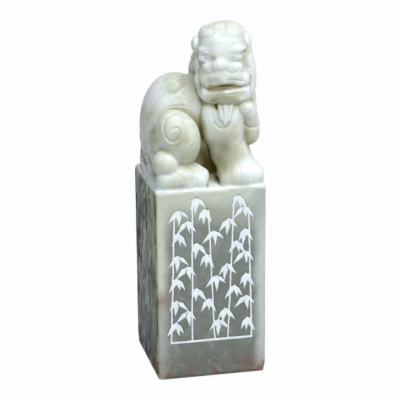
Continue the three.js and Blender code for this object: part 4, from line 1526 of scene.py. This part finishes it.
fx, fy, fz = along_axes([face_line, face_line, rise_line])
places = np.stack(np.broadcast_arrays(fx, fy, fz), -1).reshape(-1, 3)
sides = beyond_sides(places)[0].reshape(len(face_line), len(face_line), len(rise_line))
sunk = np.maximum(-raised[:, :, None], fz - RELIEF)
face_field = np.maximum(np.maximum(sides, fz - SLAB_TOP), np.maximum(-fz, -sunk))
spots, quads, _ = skin(face_field, np.zeros(3, int), face_field.shape)
spots = spots * FACE_STEP + np.array([face_line[0], face_line[0], rise_line[0]])
spots[:, 2] = np.clip(spots[:, 2], 0.0, SLAB_TOP)
normals = outward_at(spots, quads)
gap, out = beyond_sides(spots)
rim = (spots[:, 2] > SLAB_TOP - 1.6 * FACE_STEP) & (gap > -2 * FACE_STEP)
spots[rim, :2] -= out[rim] * gap[rim, None]
normals[rim] = np.concatenate([out[rim], np.zeros((rim.sum(), 1))], 1)
printing_face = placed("carved_printing_face", bpy.data.meshes.new("printing_face"))
fill_mesh(printing_face.data, spots, quads, normals)
within = np.abs(spots[:, :2]).max(1) < BORDER_REACH - BORDER
# Painted shade in the sunk ground between the raised lines
sunk = 0.8 * (within & (spots[:, 2] > 0.3) & (spots[:, 2] < RELIEF + 0.3))
mark(printing_face.data, "stain_and_shade", rusted(spots))
mark(printing_face.data, "painted_fold_shade", sunk)
printing_face.data.materials.append(column_finish)
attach(printing_face, "root")
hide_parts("printing_face")

# The white filling
# Chalky white pigment, rubbed wet into the knife cuts of the bamboo and dried there. It lies a little
# below the stone, uneven, and is worn back at its edges.
chalk = bpy.data.materials.new("chalk_white")
chalk.use_nodes = True
tree = chalk.node_tree
body = tree.nodes["Principled BSDF"]
body.inputs["Roughness"].default_value = 0.85
place = tree.nodes.new("ShaderNodeTexCoord").outputs["Object"]
powder = cloud(tree, place, 420, 5, 0.7)
powder = ramp(tree, powder, [(0.35, (0.93, 0.98, 1.0)), (0.75, (0.78, 0.86, 0.98))])
worn_spots = ramp(tree, cloud(tree, place, 1300, 4, 0.7), [(0.60, 0.0), (0.72, 0.5)])
tree.links.new(blend_colour(tree, worn_spots, powder, (0.50, 0.54, 0.58)), body.inputs["Base Color"])
bump = add_node(tree, "ShaderNodeBump", Strength=0.4, Distance=0.0001)
tree.links.new(cloud(tree, place, 2600, 3, 0.6), bump.inputs["Height"])
tree.links.new(bump.outputs[0], body.inputs["Normal"])
CHALK_STEP = np.array([0.11, 0.05, 0.11])
CHALK_DEPTH = 0.36
CHALK_BACK = -HALF_WIDTH + CHALK_DEPTH
CHALK_SUNK = 0.07
chalk_lines = [
    np.arange(-PANEL, PANEL, CHALK_STEP[0]),
    np.arange(-HALF_WIDTH - 0.02, CHALK_BACK + 0.1, CHALK_STEP[1]),
    np.arange(PANEL_FOOT, PANEL_HEAD, CHALK_STEP[2]),
]
across, up = np.meshgrid(chalk_lines[0], chalk_lines[2], indexing="ij")
flat = np.stack([across.ravel(), 0 * across.ravel(), up.ravel()], 1)
edge = (stroke_distance(flat[:, 0], flat[:, 2]) + 0.02).reshape(across.shape)
front_face = (-HALF_WIDTH + CHALK_SUNK + 0.035 * unevenness(flat, 1.1)).reshape(across.shape)
front_face = front_face + 0.05 * np.clip(1 + edge / 0.16, 0, 1) ** 2
deep = chalk_lines[1][None, :, None]
chalk_field = np.maximum(edge[:, None, :], np.maximum(front_face[:, None, :] - deep, deep - CHALK_BACK))
spots, quads, _ = skin(chalk_field, np.zeros(3, int), chalk_field.shape)
spots = spots * CHALK_STEP + np.array([line[0] for line in chalk_lines])
filling = placed("chalk_filling", bpy.data.meshes.new("chalk_filling"))
fill_mesh(filling.data, spots, quads, outward_at(spots, quads))
filling.data.materials.append(chalk)
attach(filling, "root")
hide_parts("white_filling")

# The floor and the light
# A plain white floor that bends up behind, all in metres. One square soft lamp hangs above the front, a
# little to the right, in an even surround, slightly warm, that looks white.
floor_mesh = bpy.data.meshes.new("floor")
FLOOR_FRONT = -1.2
FLOOR_BEND = 0.5
FLOOR_HEIGHT = 2.4
FLOOR_SIDE = 2.5
profile = [(FLOOR_FRONT, 0.0), (FLOOR_BEND, 0.0)]
profile += [
    (FLOOR_BEND * (1 + math.sin(a)), FLOOR_BEND * (1 - math.cos(a)))
    for a in np.linspace(0.05, math.pi / 2, 16)
]
profile += [(2 * FLOOR_BEND, FLOOR_HEIGHT)]
floor_spots = [(side * FLOOR_SIDE, y, z) for y, z in profile for side in (-1, 1)]
floor_faces = [(2 * i, 2 * i + 1, 2 * i + 3, 2 * i + 2) for i in range(len(profile) - 1)]
floor_mesh.from_pydata(floor_spots, [], floor_faces)
floor_mesh.shade_smooth()
floor = placed("floor", floor_mesh)
floor_finish = bpy.data.materials.new("white_floor")
floor_finish.use_nodes = True
tree = floor_finish.node_tree
body = tree.nodes["Principled BSDF"]
body.inputs["Base Color"].default_value = (0.5, 0.5, 0.5, 1)
body.inputs["Roughness"].default_value = 0.9
glow = add_node(tree, "ShaderNodeEmission", Strength=1.0)
glow.inputs["Color"].default_value = (1, 1, 1, 1)


def seen_or_mirrored(tree):
    """1 where the surface is looked at, straight on or in polished stone, and 0 where it only lights"""
    path = tree.nodes.new("ShaderNodeLightPath")
    found = path.outputs["Is Camera Ray"]
    for ray in ("Is Glossy Ray", "Is Transmission Ray"):
        either = add_node(tree, "ShaderNodeMath", operation="MAXIMUM")
        tree.links.new(found, either.inputs[0])
        tree.links.new(path.outputs[ray], either.inputs[1])
        found = either.outputs[0]
    return found


share = add_node(tree, "ShaderNodeMath", operation="MULTIPLY")
tree.links.new(seen_or_mirrored(tree), share.inputs[0])
share.inputs[1].default_value = 0.975
joined = tree.nodes.new("ShaderNodeMixShader")
tree.links.new(share.outputs[0], joined.inputs[0])
tree.links.new(body.outputs[0], joined.inputs[1])
tree.links.new(glow.outputs[0], joined.inputs[2])
tree.links.new(joined.outputs[0], tree.nodes["Material Output"].inputs["Surface"])
floor.data.materials.append(floor_finish)

world = bpy.data.worlds.new("surround")
bpy.context.scene.world = world
world.use_nodes = True
tree = world.node_tree
tree.nodes["Background"].inputs["Color"].default_value = (1.0, 0.99, 0.94, 1)
tree.nodes["Background"].inputs["Strength"].default_value = 0.43
white = add_node(tree, "ShaderNodeBackground", Strength=1.0)
white.inputs["Color"].default_value = (1, 1, 1, 1)
joined = tree.nodes.new("ShaderNodeMixShader")
tree.links.new(seen_or_mirrored(tree), joined.inputs[0])
tree.links.new(tree.nodes["Background"].outputs[0], joined.inputs[1])
tree.links.new(white.outputs[0], joined.inputs[2])
tree.links.new(joined.outputs[0], tree.nodes["World Output"].inputs["Surface"])

key_lamp = placed("key_lamp", bpy.data.lights.new("key_lamp", "AREA"))
key_lamp.data.size = 0.5
key_lamp.data.energy = 4.0
key_lamp.data.color = (0.93, 0.975, 1.0)
key_lamp.location = (0.09, -0.36, 0.57)
aim = Vector((0, 0, 0.06)) - key_lamp.location
key_lamp.rotation_euler = aim.to_track_quat("-Z", "Y").to_euler()

bpy.context.scene.view_settings.view_transform = "Standard"
bpy.context.view_layer.update()
